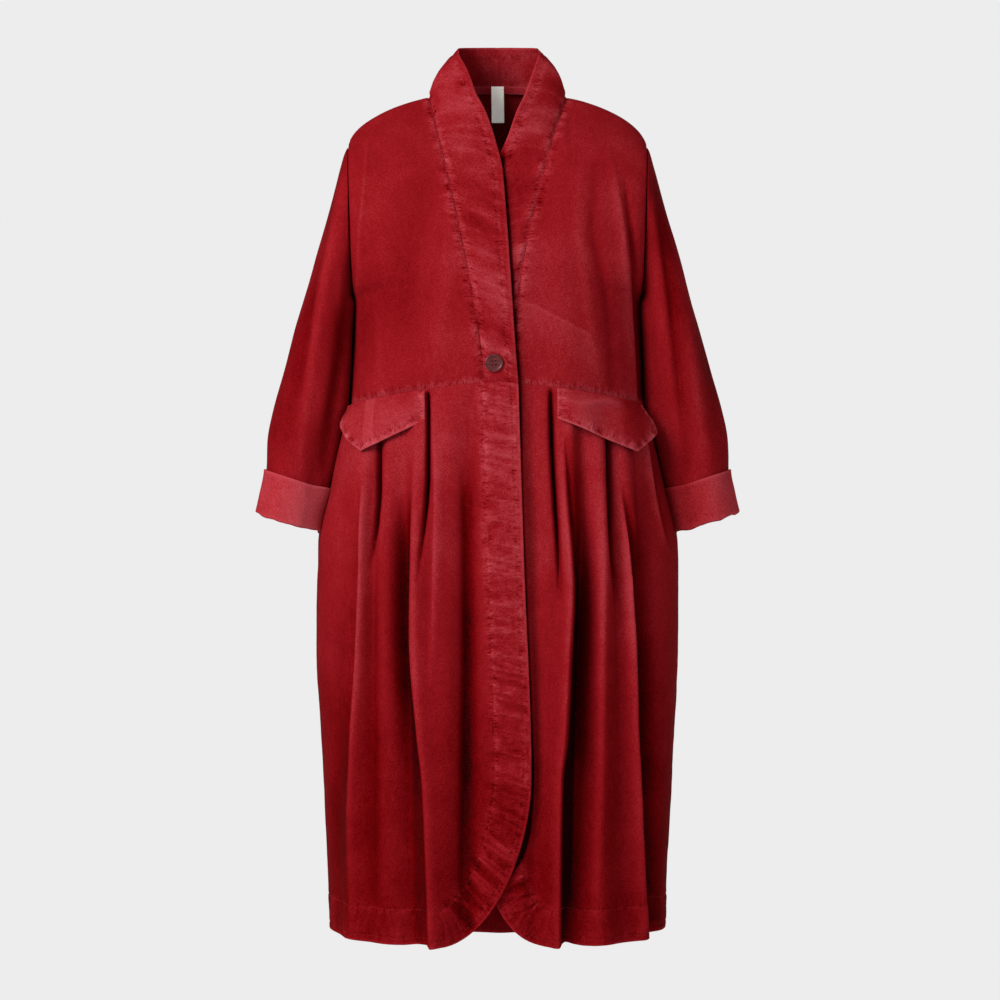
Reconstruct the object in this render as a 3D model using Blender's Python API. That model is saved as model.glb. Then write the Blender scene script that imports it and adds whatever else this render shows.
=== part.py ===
"""A long velvet coat, worn shape with nobody in it.

Metres, +Z up. The wearer faces -Y and the wearer's left is +X. The origin lies on
the centre line, level with the points where the shoulder seams meet the neck.
Each cut piece of cloth is a closed wall round a middle surface, which is worked
out from a few sizes: rings down the skirt and the sleeves, and rows up the bodice.
"""
import math
from collections import namedtuple

import bpy
import numpy as np

# ---- driving dimensions -------------------------------------------------------
CLOTH = 0.0020              # thickness of the velvet
SEAM_GAP = 0.0003           # clearance between two pieces that are sewn together
LAYER_GAP = 0.0005          # clearance between a piece and the one it lies on

WAIST_Z = -0.390            # waist seam at the centre front
WAIST_BACK_Z = -0.400       # waist seam at the centre back
WAIST_SIDE_Z = -0.418       # waist seam at the side seams
HEM_Z = -1.138              # hem at the centre front
HEM_BACK_Z = -1.150         # hem at the centre back
HEM_SIDE_Z = -1.125         # hem at the side seams
ROUNDNESS = 2.4             # exponent of the ring outline, 2 is an ellipse
WAIST_SWEEP = 1.5           # how late the waist seam drops on its way to the side
HEM_SWEEP = 5.0             # and the hem rises

NECK_HALF = 0.093           # shoulder seam's inner end, from the centre line
NECK_BACK_Y = 0.072         # centre back of the neck seam
NECK_BACK_Z = 0.018
TIP = (0.2025, 0.004, -0.0685)          # top of the armhole
UNDERARM = (0.1945, 0.004, -0.275)      # bottom of the armhole
ARMHOLE_HALF = 0.066        # half the armhole's width, front to back
UNDERARM_UP = 4 / 11        # share of the bodice's height that lies below the armhole
SHOULDER_SQUARENESS = 0.48  # how suddenly the shoulder seam turns down at the arm
SHOULDER_SWEEP_LOSS = 0.20
BACK_TURNS_TO_NECK = 0.42   # height where the back starts to take the line of the neck and shoulders
ARMHOLE_HOLDS = 1.5         # power by which the back's rows come to end on the armhole
BAND_WAIST_HALF = 0.0170    # band seam's distance from the centre line at the waist
BAND_BULGE = 0.0065         # how far the collar bows out beside the neck
BAND_LEAVES_FRONT = (0.60, 0.75)        # heights between which the band rises off the front

OVER_LIFT = 0.0015          # how far the upper front stands out where the fronts cross
UNDER_SINK = 0.0070         # how far the lower front is pressed in there
OVER_CORNER = (0.70, 0.120, 1.8)        # share of the skirt where it starts, width, squareness
UNDER_CORNER = (0.80, 0.092, 2.2)
BUTTON_Z = -0.365
BUTTON_X = -0.0047
BUTTON_RADIUS = 0.0120
BUTTON_THICK = 0.0034
BUTTON_RIM = 0.0020         # width of the raised rim
BUTTON_DISH = 0.0009        # depth of the face inside the rim
BUTTON_HOLE_RADIUS = 0.0011
BUTTON_HOLE_STEP = 0.0024   # hole centre from the button's centre, each way

LABEL_WIDTH = 0.0165
LABEL_DROP = 0.050
LABEL_THICK = 0.0010
TAPE_WIDTH = 0.0100
TAPE_THICK = 0.0010
TAPE_AIR = 0.0008
TAPE_BELOW_SEAM = 0.0020
TAPE_REACH = 42.0           # degrees of the back neck, each way from the centre, under the tape

RIGHT, LEFT = -1, 1         # the wearer's sides, as signs of X

# ---- tables -------------------------------------------------------------------
# One ring of the skirt: share of the way from waist to hem, half width, and the
# depths of the front and the back from the side seams' plane.
SkirtRing = namedtuple("SkirtRing", "down half_width front back")
SKIRT_RINGS = (
    SkirtRing(0.00, 0.2006, 0.135, 0.120),
    SkirtRing(0.06, 0.2125, 0.147, 0.131),
    SkirtRing(0.16, 0.2278, 0.160, 0.144),
    SkirtRing(0.27, 0.2435, 0.170, 0.155),
    SkirtRing(0.45, 0.2445, 0.178, 0.163),
    SkirtRing(0.70, 0.2360, 0.180, 0.166),
    SkirtRing(1.00, 0.2265, 0.174, 0.162),
)

# One level of the bodice's centre line: height, depth of the front there.
FrontLevel = namedtuple("FrontLevel", "z depth")
FRONT_LEVELS = (
    FrontLevel(-0.390, 0.135),
    FrontLevel(-0.280, 0.128),
    FrontLevel(-0.200, 0.116),
    FrontLevel(-0.140, 0.098),
    FrontLevel(-0.080, 0.070),
    FrontLevel(-0.035, 0.034),
    FrontLevel(0.000, 0.000),
)
BackLevel = namedtuple("BackLevel", "z depth")
BACK_LEVELS = (
    BackLevel(-0.400, 0.120),
    BackLevel(-0.280, 0.118),
    BackLevel(-0.160, 0.122),
    BackLevel(-0.080, 0.114),
    BackLevel(-0.030, 0.097),
    BackLevel(0.018, 0.072),
)
SideLevel = namedtuple("SideLevel", "z half_width")
SIDE_LEVELS = (
    SideLevel(-0.418, 0.2006),
    SideLevel(-0.340, 0.1965),
    SideLevel(-0.275, 0.1945),
)

# The free edge of the front band, by its seam's place: 0 at the waist, 1 at the
# shoulder seam, 2 at the centre back. Beyond is how far the edge reaches over the
# centre line; y is left out where the edge lies on the front.
BandRow = namedtuple("BandRow", "along beyond y z")
OVER_BAND = (
    BandRow(0.00, 0.0272, None, -0.390),
    BandRow(0.15, 0.0225, None, -0.331),
    BandRow(0.30, 0.0185, None, -0.271),
    BandRow(0.45, 0.0145, None, -0.210),
    BandRow(0.60, 0.0100, None, -0.149),
    BandRow(0.70, 0.0060, None, -0.103),
    BandRow(0.77, -0.0034, -0.0640, -0.063),
    BandRow(0.84, -0.0168, -0.0500, -0.0225),
    BandRow(0.90, -0.0303, -0.0340, 0.0045),
    BandRow(0.955, -0.0400, -0.0160, 0.0330),
    BandRow(1.00, -0.0530, 0.0030, 0.0590),
    BandRow(1.33, -0.0530, 0.0240, 0.0690),
    BandRow(1.66, -0.0310, 0.0465, 0.0720),
    BandRow(2.00, -0.0002, 0.0550, 0.0730),
)
UNDER_BAND = (
    BandRow(0.00, 0.0272, None, -0.390),
    BandRow(0.15, 0.0225, None, -0.331),
    BandRow(0.30, 0.0185, None, -0.271),
    BandRow(0.45, 0.0150, None, -0.210),
    BandRow(0.60, 0.0100, None, -0.149),
    BandRow(0.70, 0.0020, None, -0.100),
    BandRow(0.77, -0.0155, -0.0600, -0.055),
    BandRow(0.84, -0.0262, -0.0470, -0.0230),
    BandRow(0.90, -0.0370, -0.0310, 0.0010),
    BandRow(0.955, -0.0470, -0.0150, 0.0300),
    BandRow(1.00, -0.0560, 0.0030, 0.0580),
    BandRow(1.33, -0.0540, 0.0240, 0.0690),
    BandRow(1.66, -0.0310, 0.0465, 0.0720),
    BandRow(2.00, -0.0002, 0.0550, 0.0730),
)

# A ring of the sleeve: its outer end, its end against the body, half its depth.
SleeveRing = namedtuple("SleeveRing", "outer_x outer_z inner_x inner_z half_depth")
SLEEVE_RINGS = (
    SleeveRing(0.2042, -0.0685, 0.1968, -0.2750, 0.0660),
    SleeveRing(0.2150, -0.1050, 0.1992, -0.2890, 0.0680),
    SleeveRing(0.2278, -0.1526, 0.1990, -0.3060, 0.0700),
    SleeveRing(0.2428, -0.2070, 0.1995, -0.3260, 0.0720),
    SleeveRing(0.2577, -0.2614, 0.2008, -0.3500, 0.0730),
    SleeveRing(0.2740, -0.3158, 0.2032, -0.3820, 0.0730),
    SleeveRing(0.2890, -0.3702, 0.2070, -0.4180, 0.0720),
    SleeveRing(0.3040, -0.4246, 0.2175, -0.4600, 0.0700),
    SleeveRing(0.3120, -0.4700, 0.2275, -0.5000, 0.0680),
    SleeveRing(0.3135, -0.5060, 0.2345, -0.5334, 0.0670),
    SleeveRing(0.3190, -0.5350, 0.2405, -0.5620, 0.0680),
    SleeveRing(0.3238, -0.5620, 0.2460, -0.5895, 0.0690),
)
CUFF_TOP_RING = 9           # index of the ring where the turned-up cuff starts
SLEEVE_CENTRE_Y = 0.004
SLEEVE_ROUNDNESS = 2.3

# A fold of the skirt: the arc from the centre line, and how far the cloth stands
# out (plus) or in (minus), at five levels below the waist; then the widths of the
# fold's slopes towards the centre and towards the side.
FOLD_DROPS = (0.0, 0.07, 0.20, 0.45, 0.744)
Fold = namedtuple("Fold", "arcs depths inner outer")
RIGHT_FOLDS = (
    Fold((0.040, 0.038, 0.036, 0.035, 0.040), (0.000, -0.003, -0.008, -0.010, -0.010), 0.016, 0.020),
    Fold((0.060, 0.062, 0.066, 0.068, 0.070), (0.002, 0.005, 0.006, 0.006, 0.004), 0.018, 0.018),
    Fold((0.105, 0.104, 0.110, 0.103, 0.092), (0.002, 0.007, 0.012, 0.012, 0.013), 0.026, 0.013),
    Fold((0.128, 0.127, 0.128, 0.124, 0.118), (0.000, -0.004, -0.013, -0.012, -0.010), 0.013, 0.020),
    Fold((0.166, 0.167, 0.173, 0.178, 0.182), (-0.002, -0.010, -0.009, -0.004, -0.002), 0.010, 0.011),
    Fold((0.190, 0.192, 0.198, 0.205, 0.212), (0.000, 0.004, 0.009, 0.010, 0.008), 0.020, 0.020),
)
LEFT_FOLDS = (
    Fold((0.046, 0.046, 0.045, 0.049, 0.052), (-0.001, -0.004, -0.006, -0.006, -0.004), 0.013, 0.012),
    Fold((0.079, 0.080, 0.084, 0.076, 0.068), (-0.002, -0.009, -0.008, -0.002, 0.000), 0.010, 0.010),
    Fold((0.094, 0.096, 0.101, 0.091, 0.083), (0.002, 0.007, 0.014, 0.016, 0.006), 0.020, 0.013),
    Fold((0.114, 0.116, 0.119, 0.114, 0.104), (0.000, -0.007, -0.018, -0.020, -0.007), 0.013, 0.017),
    Fold((0.136, 0.136, 0.138, 0.140, 0.142), (0.002, 0.006, 0.010, 0.010, 0.008), 0.016, 0.018),
    Fold((0.157, 0.157, 0.163, 0.170, 0.177), (-0.002, -0.010, -0.009, -0.003, 0.000), 0.010, 0.010),
    Fold((0.174, 0.177, 0.188, 0.196, 0.208), (0.001, 0.004, 0.010, 0.013, 0.013), 0.020, 0.012),
    Fold((0.195, 0.202, 0.210, 0.219, 0.232), (0.000, -0.004, -0.010, -0.012, -0.009), 0.012, 0.020),
)
# The same for the back, with arcs from the centre back, plus on the wearer's left.
BACK_FOLDS = (
    Fold((-0.182, -0.186, -0.194, -0.200, -0.206), (0.000, -0.006, -0.010, -0.010, -0.008), 0.016, 0.020),
    Fold((-0.132, -0.133, -0.136, -0.141, -0.147), (0.001, 0.005, 0.011, 0.012, 0.011), 0.020, 0.017),
    Fold((-0.086, -0.087, -0.090, -0.094, -0.096), (0.000, -0.008, -0.013, -0.013, -0.010), 0.017, 0.015),
    Fold((-0.038, -0.038, -0.040, -0.043, -0.048), (0.001, 0.005, 0.009, 0.009, 0.008), 0.020, 0.018),
    Fold((0.012, 0.012, 0.010, 0.006, 0.004), (0.000, -0.006, -0.009, -0.012, -0.010), 0.018, 0.015),
    Fold((0.058, 0.058, 0.061, 0.063, 0.067), (0.001, 0.004, 0.010, 0.011, 0.012), 0.017, 0.020),
    Fold((0.104, 0.105, 0.108, 0.115, 0.120), (0.000, -0.008, -0.012, -0.011, -0.008), 0.015, 0.017),
    Fold((0.150, 0.152, 0.158, 0.165, 0.172), (0.001, 0.004, 0.010, 0.010, 0.009), 0.018, 0.018),
    Fold((0.196, 0.199, 0.206, 0.212, 0.218), (0.000, -0.005, -0.009, -0.008, -0.006), 0.015, 0.018),
)
SEAM_FADE = 0.022           # folds die out over this arc beside a side seam
WAIST_FADE = 0.020          # and over this drop below the waist seam

# A pocket flap from its inner end to its outer end: the arc from the centre line,
# and the drops of its upper and its lower edge below the waist seam.
FlapCut = namedtuple("FlapCut", "arc upper lower lift")
RIGHT_FLAP = (
    FlapCut(0.0970, 0.0015, 0.0420, 0.0000),
    FlapCut(0.1200, 0.0015, 0.0505, 0.0005),
    FlapCut(0.1550, 0.0015, 0.0620, 0.0020),
    FlapCut(0.1870, 0.0015, 0.0725, 0.0030),
    FlapCut(0.2080, 0.0015, 0.0575, 0.0045),
    FlapCut(0.2300, 0.0040, 0.0340, 0.0055),
)
LEFT_FLAP = (
    FlapCut(0.0800, 0.0015, 0.0420, 0.0000),
    FlapCut(0.1080, 0.0015, 0.0510, 0.0035),
    FlapCut(0.1400, 0.0015, 0.0600, 0.0010),
    FlapCut(0.1730, 0.0015, 0.0700, 0.0060),
    FlapCut(0.2020, 0.0015, 0.0690, 0.0070),
    FlapCut(0.2280, 0.0060, 0.0420, 0.0090),
)
FLAP_AIR = 0.0035           # the folds under a flap hold it off the skirt by this much

# ---- grid sizes: intervals along and across each piece --------------------------
SKIRT_ROWS, FRONT_COLUMNS, BACK_COLUMNS = 13, 25, 30
BODICE_ROWS, BODICE_COLUMNS = 11, 9
NECK_COLUMNS, SHOULDER_COLUMNS = 5, 5   # of half the back's upper edge
SLEEVE_COLUMNS = 16
BAND_COLUMNS = 3
FLAP_ROWS = 2
HEM_CROWDING = 1.6          # rows lie closer together towards the rounded hem corners
CUT_FADE = 3                # how fast the columns behind a rounded corner come back to their own places

# ---- colours --------------------------------------------------------------------
VELVET = (0.27, 0.008, 0.014, 1.0)
VELVET_WRONG_SIDE = (0.38, 0.028, 0.036, 1.0)
BUTTON_RED = (0.11, 0.012, 0.014, 1.0)
LABEL_CREAM = (0.72, 0.71, 0.62, 1.0)


# ---- curves -----------------------------------------------------------------------
def ease(low, high, value):
    """0 below low, 1 above high, and smooth between them."""
    share = np.clip((value - low) / (high - low), 0.0, 1.0)
    return share * share * (3.0 - 2.0 * share)


def through(places, values, at):
    """A smooth curve through the values at the places, with no overshoot between them."""
    places = np.asarray(places, float)
    values = np.asarray(values, float)
    at = np.clip(at, places[0], places[-1])
    rates = np.diff(values) / np.diff(places)
    before, after = rates[:-1], rates[1:]
    same_way = before * after > 0.0
    shared = 2.0 * before * after / np.where(same_way, before + after, 1.0)
    slopes = np.concatenate((rates[:1], np.where(same_way, shared, 0.0), rates[-1:]))
    left = np.clip(np.searchsorted(places, at, side="right") - 1, 0, len(places) - 2)
    span = places[left + 1] - places[left]
    share = (at - places[left]) / span
    rise = (1 + 2 * share) * (1 - share) ** 2 * values[left]
    fall = share * share * (3 - 2 * share) * values[left + 1]
    lean_in = share * (1 - share) ** 2 * span * slopes[left]
    lean_out = share * share * (share - 1) * span * slopes[left + 1]
    return rise + fall + lean_in + lean_out


def column(table, name):
    return [getattr(row, name) for row in table]


def quarter(half_width, depth, end_y, exponent, first_x=0.0, steps=90):
    """Points of a quarter ring from x = first_x at the front to the side, with arcs."""
    start = math.asin(min(1.0, (abs(first_x) / half_width) ** (exponent / 2.0)))
    angle = np.linspace(start, math.pi / 2.0, steps)
    x = half_width * np.sin(angle) ** (2.0 / exponent)
    y = end_y + (depth - end_y) * np.clip(np.cos(angle), 0.0, 1.0) ** (2.0 / exponent)
    arc = np.concatenate(([0.0], np.cumsum(np.hypot(np.diff(x), np.diff(y)))))
    return arc, x, y


# ---- skirt ------------------------------------------------------------------------
def skirt_ring(down, face):
    """The quarter ring at a share of the skirt's height; face is -1 front, +1 back."""
    places = column(SKIRT_RINGS, "down")
    half_width = through(places, column(SKIRT_RINGS, "half_width"), down)
    depth = through(places, column(SKIRT_RINGS, "front" if face < 0 else "back"), down)
    return quarter(half_width, face * depth, 0.0, ROUNDNESS)


def waist_z(x, half_width, face):
    centre = WAIST_Z if face < 0 else WAIST_BACK_Z
    return centre + (WAIST_SIDE_Z - centre) * np.clip(np.abs(x) / half_width, 0.0, 1.0) ** WAIST_SWEEP


def skirt_height(down, x, half_width, face):
    top = waist_z(x, half_width, face)
    centre = HEM_Z if face < 0 else HEM_BACK_Z
    bottom = centre + (HEM_SIDE_Z - centre) * np.clip(np.abs(x) / half_width, 0.0, 1.0) ** HEM_SWEEP
    return top + (bottom - top) * down


def fold_offset(folds, arc, down):
    """How far the folds carry the cloth out, at arcs of one level."""
    drop = down * FOLD_DROPS[-1]
    total = np.zeros_like(arc)
    for fold in folds:
        middle = through(FOLD_DROPS, fold.arcs, drop)
        depth = through(FOLD_DROPS, fold.depths, drop)
        away = arc - middle
        outwards = away * (1.0 if middle >= 0 else -1.0) > 0
        width = np.where(outwards, fold.outer, fold.inner)
        total += depth * np.exp(-(away / width) ** 2)
    return total * ease(0.0, WAIST_FADE, drop)


def layer_offset(side, own_x, z):
    """The upper front lifts and the lower front sinks where the two cross."""
    shallow = ease(-0.015, -0.070, z)
    if side == RIGHT:
        return shallow * OVER_LIFT * (1.0 - ease(0.02, 0.08, own_x))
    return -shallow * UNDER_SINK * (1.0 - ease(0.045, 0.10, own_x))


def skirt_row(side, face, folds, arcs, down, moved_out=0.0):
    """Points at signed arcs from the centre line, on one level of the skirt."""
    length, ring_x, ring_y = skirt_ring(down, face)
    reach = np.abs(arcs)
    x = np.interp(reach, length, ring_x)
    y = np.interp(reach, length, ring_y)
    z = skirt_height(down, x, ring_x[-1], face)
    slope_x = np.interp(reach, length, np.gradient(ring_x, length))
    slope_y = np.interp(reach, length, np.gradient(ring_y, length))
    normal_x = -face * slope_y
    normal_y = face * slope_x
    sign = np.where(arcs < 0, -1.0, 1.0)
    out = fold_offset(folds, arcs, down) * ease(0.0, SEAM_FADE, length[-1] - reach)
    if face < 0:
        out = out + layer_offset(side, sign * x, z)
    out = out + moved_out
    return np.stack((side * sign * (x + out * normal_x), y + out * normal_y, z), axis=-1)


def rounded(down, start, cut, power):
    """How far a rounded hem corner cuts back the free edge, from its start to the hem."""
    into_corner = np.clip((down - start) / (1.0 - start), 0.0, 1.0)
    return cut * (1.0 - (1.0 - into_corner ** power) ** (1.0 / power))


def free_edge(side, down):
    """Arc of the free edge from the centre line, before its corner is rounded, and the cut."""
    if side == RIGHT:
        straight = through((0.0, 0.30, 0.70, 1.0), (-0.0272, -0.0340, -0.0443, -0.0443), down)
        return straight, rounded(down, *OVER_CORNER)
    straight = through((0.0, 0.5, 1.0), (-0.0272, -0.0230, -0.0170), down)
    return straight, rounded(down, *UNDER_CORNER)


def front_arcs(side, down, shares):
    """Arcs of a row's points; the corner's cut is taken up by the columns beside it."""
    straight, cut = free_edge(side, down)
    side_arc = skirt_ring(down, -1)[0][-1]
    return straight + (side_arc - straight) * shares + cut * (1.0 - shares) ** CUT_FADE


def skirt_downs():
    steps = np.linspace(0.0, 1.0, SKIRT_ROWS + 1)
    return 1.0 - (1.0 - steps) ** HEM_CROWDING


def skirt_front_grid(side):
    folds = RIGHT_FOLDS if side == RIGHT else LEFT_FOLDS
    shares = np.linspace(0.0, 1.0, FRONT_COLUMNS + 1)
    rows = [skirt_row(side, -1, folds, front_arcs(side, down, shares), down) for down in skirt_downs()]
    grid = np.array(rows)
    grid[0, :, 2] -= SEAM_GAP
    grid[:, -1, 1] -= SEAM_GAP / 2
    return grid


def skirt_back_grid():
    rows = []
    for down in skirt_downs():
        side_arc = skirt_ring(down, 1)[0][-1]
        arcs = np.linspace(-side_arc, side_arc, BACK_COLUMNS + 1)
        rows.append(skirt_row(1, 1, BACK_FOLDS, arcs, down))
    grid = np.array(rows)
    grid[0, :, 2] -= SEAM_GAP
    grid[:, 0, 1] += SEAM_GAP / 2
    grid[:, -1, 1] += SEAM_GAP / 2
    return grid


# ---- bodice -------------------------------------------------------------------------
def armhole(angle, face):
    """A point of the armhole: angle 0 at its top, pi at the underarm."""
    top = np.array(TIP)
    bottom = np.array(UNDERARM)
    power = 2.0 / SLEEVE_ROUNDNESS
    along = math.copysign(abs(math.cos(angle)) ** power, math.cos(angle))
    point = (top + bottom) / 2 + (top - bottom) / 2 * along
    point[1] += face * ARMHOLE_HALF * max(0.0, math.sin(angle)) ** power
    return point


def bodice_outer(up, face):
    """The end of a bodice row: on the side seam, then round the armhole."""
    if up <= UNDERARM_UP:
        share = up / UNDERARM_UP
        z = WAIST_SIDE_Z + (UNDERARM[2] - WAIST_SIDE_Z) * share
        x = through(column(SIDE_LEVELS, "z"), column(SIDE_LEVELS, "half_width"), z)
        return np.array((float(x), UNDERARM[1] * share, z))
    return armhole(math.pi * (1.0 - up) / (1.0 - UNDERARM_UP), face)


def seam_x(side, up):
    """Half width of the front opening between the band seams."""
    power = 1.30 if side == RIGHT else 1.65
    return BAND_WAIST_HALF + (NECK_HALF - BAND_WAIST_HALF) * up ** power


def shoulder_fall(share, up):
    """How a row's height falls from the neck towards the arm."""
    squareness = 1.0 - SHOULDER_SQUARENESS * up ** 6
    sweep = WAIST_SWEEP - SHOULDER_SWEEP_LOSS * up ** 6
    return 1.0 - (1.0 - np.clip(share, 0.0, 1.0) ** sweep) ** squareness


def bodice_front_row(side, up, shares=None, xs=None):
    """Points of one row, by shares from band seam to outer edge or by own x."""
    z_centre = WAIST_Z * (1.0 - up)
    depth = float(through(column(FRONT_LEVELS, "z"), column(FRONT_LEVELS, "depth"), z_centre))
    end = bodice_outer(up, -1)
    start_x = seam_x(side, up)
    if xs is None:
        arc, ring_x, ring_y = quarter(end[0], -depth, end[1], ROUNDNESS, first_x=start_x)
        x = np.interp(shares * arc[-1], arc, ring_x)
        y = np.interp(shares * arc[-1], arc, ring_y)
    else:
        _, ring_x, ring_y = quarter(end[0], -depth, end[1], ROUNDNESS)
        x = xs
        y = np.interp(np.abs(xs), ring_x, ring_y)
    skip = start_x * ease(0.0, 0.30, up)
    share = (np.abs(x) - skip) / (end[0] - skip)
    z = z_centre + (end[2] - z_centre) * shoulder_fall(share, up)
    y = y - layer_offset(side, x, z)
    return np.stack((side * x, y, z), axis=-1)


def bodice_ups():
    return np.linspace(0.0, 1.0, BODICE_ROWS + 1)


def bodice_front_grid(side):
    shares = np.linspace(0.0, 1.0, BODICE_COLUMNS + 1)
    grid = np.array([bodice_front_row(side, up, shares=shares) for up in bodice_ups()])
    grid[:, -1, 1] -= SEAM_GAP / 2
    return grid


def neckline(along):
    """The neck seam behind the shoulder seam: along 1 there, 2 at the centre back."""
    angle = (along - 1.0) * math.pi / 2.0
    outwards, backwards = math.cos(angle), math.sin(angle)
    return np.array((NECK_HALF * outwards, NECK_BACK_Y * backwards, NECK_BACK_Z * backwards))


def bodice_back_grid():
    shares = back_shares()
    rows = []
    for up in bodice_ups():
        z_centre = WAIST_BACK_Z + (NECK_BACK_Z - WAIST_BACK_Z) * up
        depth = float(through(column(BACK_LEVELS, "z"), column(BACK_LEVELS, "depth"), z_centre))
        end = bodice_outer(up, 1)
        arc, ring_x, ring_y = quarter(end[0], depth, end[1], ROUNDNESS)
        x = np.interp(np.abs(shares) * arc[-1], arc, ring_x)
        y = np.interp(np.abs(shares) * arc[-1], arc, ring_y)
        z = z_centre + (end[2] - z_centre) * shoulder_fall(x / end[0], up)
        row = np.stack((np.sign(shares) * x, y, z), axis=-1)
        to_top = float(ease(BACK_TURNS_TO_NECK, 1.0, up))
        below_tip = np.array(TIP) - end
        for index, share in enumerate(shares):
            on_armhole = below_tip * (np.sign(share), 1.0, 1.0) * abs(share) ** ARMHOLE_HOLDS
            row[index] += to_top * (shoulder_top(share) - row[index] - on_armhole)
        rows.append(row)
    grid = np.array(rows)
    grid[:, 0, 1] += SEAM_GAP / 2
    grid[:, -1, 1] += SEAM_GAP / 2
    return grid


def back_shares():
    half = NECK_COLUMNS + SHOULDER_COLUMNS
    return np.linspace(-1.0, 1.0, 2 * half + 1)


def neck_share():
    return NECK_COLUMNS / (NECK_COLUMNS + SHOULDER_COLUMNS)


def shoulder_top(share):
    """A point of the back's upper edge: the neck seam, then the shoulder seam."""
    reach = abs(share)
    sign = math.copysign(1.0, share)
    if reach <= neck_share():
        point = neckline(2.0 - reach / neck_share())
        point[1] = max(point[1], SEAM_GAP)
    else:
        outwards = np.array([(reach - neck_share()) / (1.0 - neck_share())])
        point = bodice_front_row(1, 1.0, shares=outwards)[0]
        point[1] += SEAM_GAP
    point[0] = sign * abs(point[0])
    return point


# ---- band and collar -------------------------------------------------------------------
def band_seam(side, along):
    if along <= 1.0:
        return bodice_front_row(side, along, shares=np.array([0.0]))[0]
    point = neckline(along)
    point[0] *= side
    return point


def seam_normal(side, along):
    """The direction that both pieces face along the band seam, so that their edges meet square."""
    x = through((0.0, 0.6, 1.0, 1.5, 2.0), (0.0, 0.12, 0.45, 0.45, 0.0), along)
    y = through((0.0, 0.6, 1.0, 1.5, 2.0), (-1.0, -0.95, 0.0, 0.60, 0.90), along)
    z = through((0.0, 0.6, 1.0, 1.5, 2.0), (0.0, 0.25, 0.85, 0.75, 0.40), along)
    normal = np.array((side * float(x), float(y), float(z)))
    return normal / np.linalg.norm(normal)


def band_edge(side, table, along):
    """A point of the band's free edge: own x, y and height, smooth through the table."""
    points = []
    for row in table:
        y = row.y
        if y is None:
            y = bodice_front_row(side, 1.0 - row.z / WAIST_Z, xs=np.array([-row.beyond]))[0][1]
        points.append((-row.beyond, y, row.z))
    places = column(table, "along")
    return np.array([float(through(places, values, along)) for values in zip(*points)])


def band_alongs():
    """Rows of the band: one for each row of the bodice front, then of the back neck."""
    back = np.linspace(1.0, 2.0, NECK_COLUMNS + 1)[1:]
    return np.concatenate((bodice_ups(), back))


def band_row(side, along, shares):
    """Points across the band from its seam to its free edge."""
    table = OVER_BAND if side == RIGHT else UNDER_BAND
    start = band_seam(side, along)
    edge = band_edge(side, table, along)
    end = edge * np.array((side, 1.0, 1.0))
    if along == 2.0:
        start[0] = end[0] = side * SEAM_GAP / 2
    start = start + (end - start) * SEAM_GAP / np.linalg.norm(end - start)
    straight = start + (end - start) * shares[:, None]
    beside_neck = ease(0.75, 1.0, along) * (1.0 - ease(1.2, 1.8, along))
    bow = seam_normal(side, along) * np.array((1.0, 0.0, 0.4)) * BAND_BULGE * 2.0 * beside_neck
    straight = straight + bow * np.sin(shares * math.pi)[:, None]
    if along >= BAND_LEAVES_FRONT[1]:
        return straight
    on_front = []
    for share in shares:
        up = along + (1.0 - edge[2] / WAIST_Z - along) * share
        own_x = side * start[0] + (edge[0] - side * start[0]) * share
        on_front.append(bodice_front_row(side, up, xs=np.array([own_x]))[0])
    return straight + (np.array(on_front) - straight) * (1.0 - ease(*BAND_LEAVES_FRONT, along))


def band_grid(side):
    shares = np.linspace(0.0, 1.0, BAND_COLUMNS + 1)
    return np.array([band_row(side, along, shares) for along in band_alongs()])


# ---- sleeves and cuffs --------------------------------------------------------------------
def sleeve_ring(side, place):
    """One ring of the sleeve at a place counted in table rows."""
    index = np.arange(len(SLEEVE_RINGS))
    outer_x, outer_z, inner_x, inner_z, half_depth = (
        float(through(index, column(SLEEVE_RINGS, name), place)) for name in SleeveRing._fields
    )
    centre = np.array(((outer_x + inner_x) / 2, SLEEVE_CENTRE_Y, (outer_z + inner_z) / 2))
    arm = np.array(((outer_x - inner_x) / 2, 0.0, (outer_z - inner_z) / 2))
    angle = np.linspace(0.0, 2.0 * math.pi, SLEEVE_COLUMNS, endpoint=False)
    power = 2.0 / SLEEVE_ROUNDNESS
    along = np.sign(np.cos(angle)) * np.abs(np.cos(angle)) ** power
    across = np.sign(np.sin(angle)) * np.abs(np.sin(angle)) ** power
    ring = centre + arm * along[:, None]
    ring[:, 1] -= half_depth * across
    ring[:, 0] *= side
    return ring if side == LEFT else ring[::-1]


def sleeve_grid(side):
    return np.array([sleeve_ring(side, place) for place in range(len(SLEEVE_RINGS))])


# ---- walls from grids -----------------------------------------------------------------------
def grid_normals(grid, closed):
    along = np.gradient(grid, axis=0)
    if closed:
        across = np.roll(grid, -1, axis=1) - np.roll(grid, 1, axis=1)
    else:
        across = np.gradient(grid, axis=1)
    normals = np.cross(across, along)
    return normals / np.linalg.norm(normals, axis=-1, keepdims=True)


def flattened(normals, axis):
    flat = normals.copy()
    flat[..., axis] = 0.0
    return flat / np.linalg.norm(flat, axis=-1, keepdims=True)


def two_triangles(quad, points):
    """A quad cut along its shorter diagonal, so that both skins of a wall bend alike."""
    first, second, third, fourth = quad
    one_way = np.linalg.norm(points[first] - points[third])
    other_way = np.linalg.norm(points[second] - points[fourth])
    if one_way <= other_way:
        return [first, second, third], [first, third, fourth]
    return [first, second, fourth], [second, third, fourth]


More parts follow.
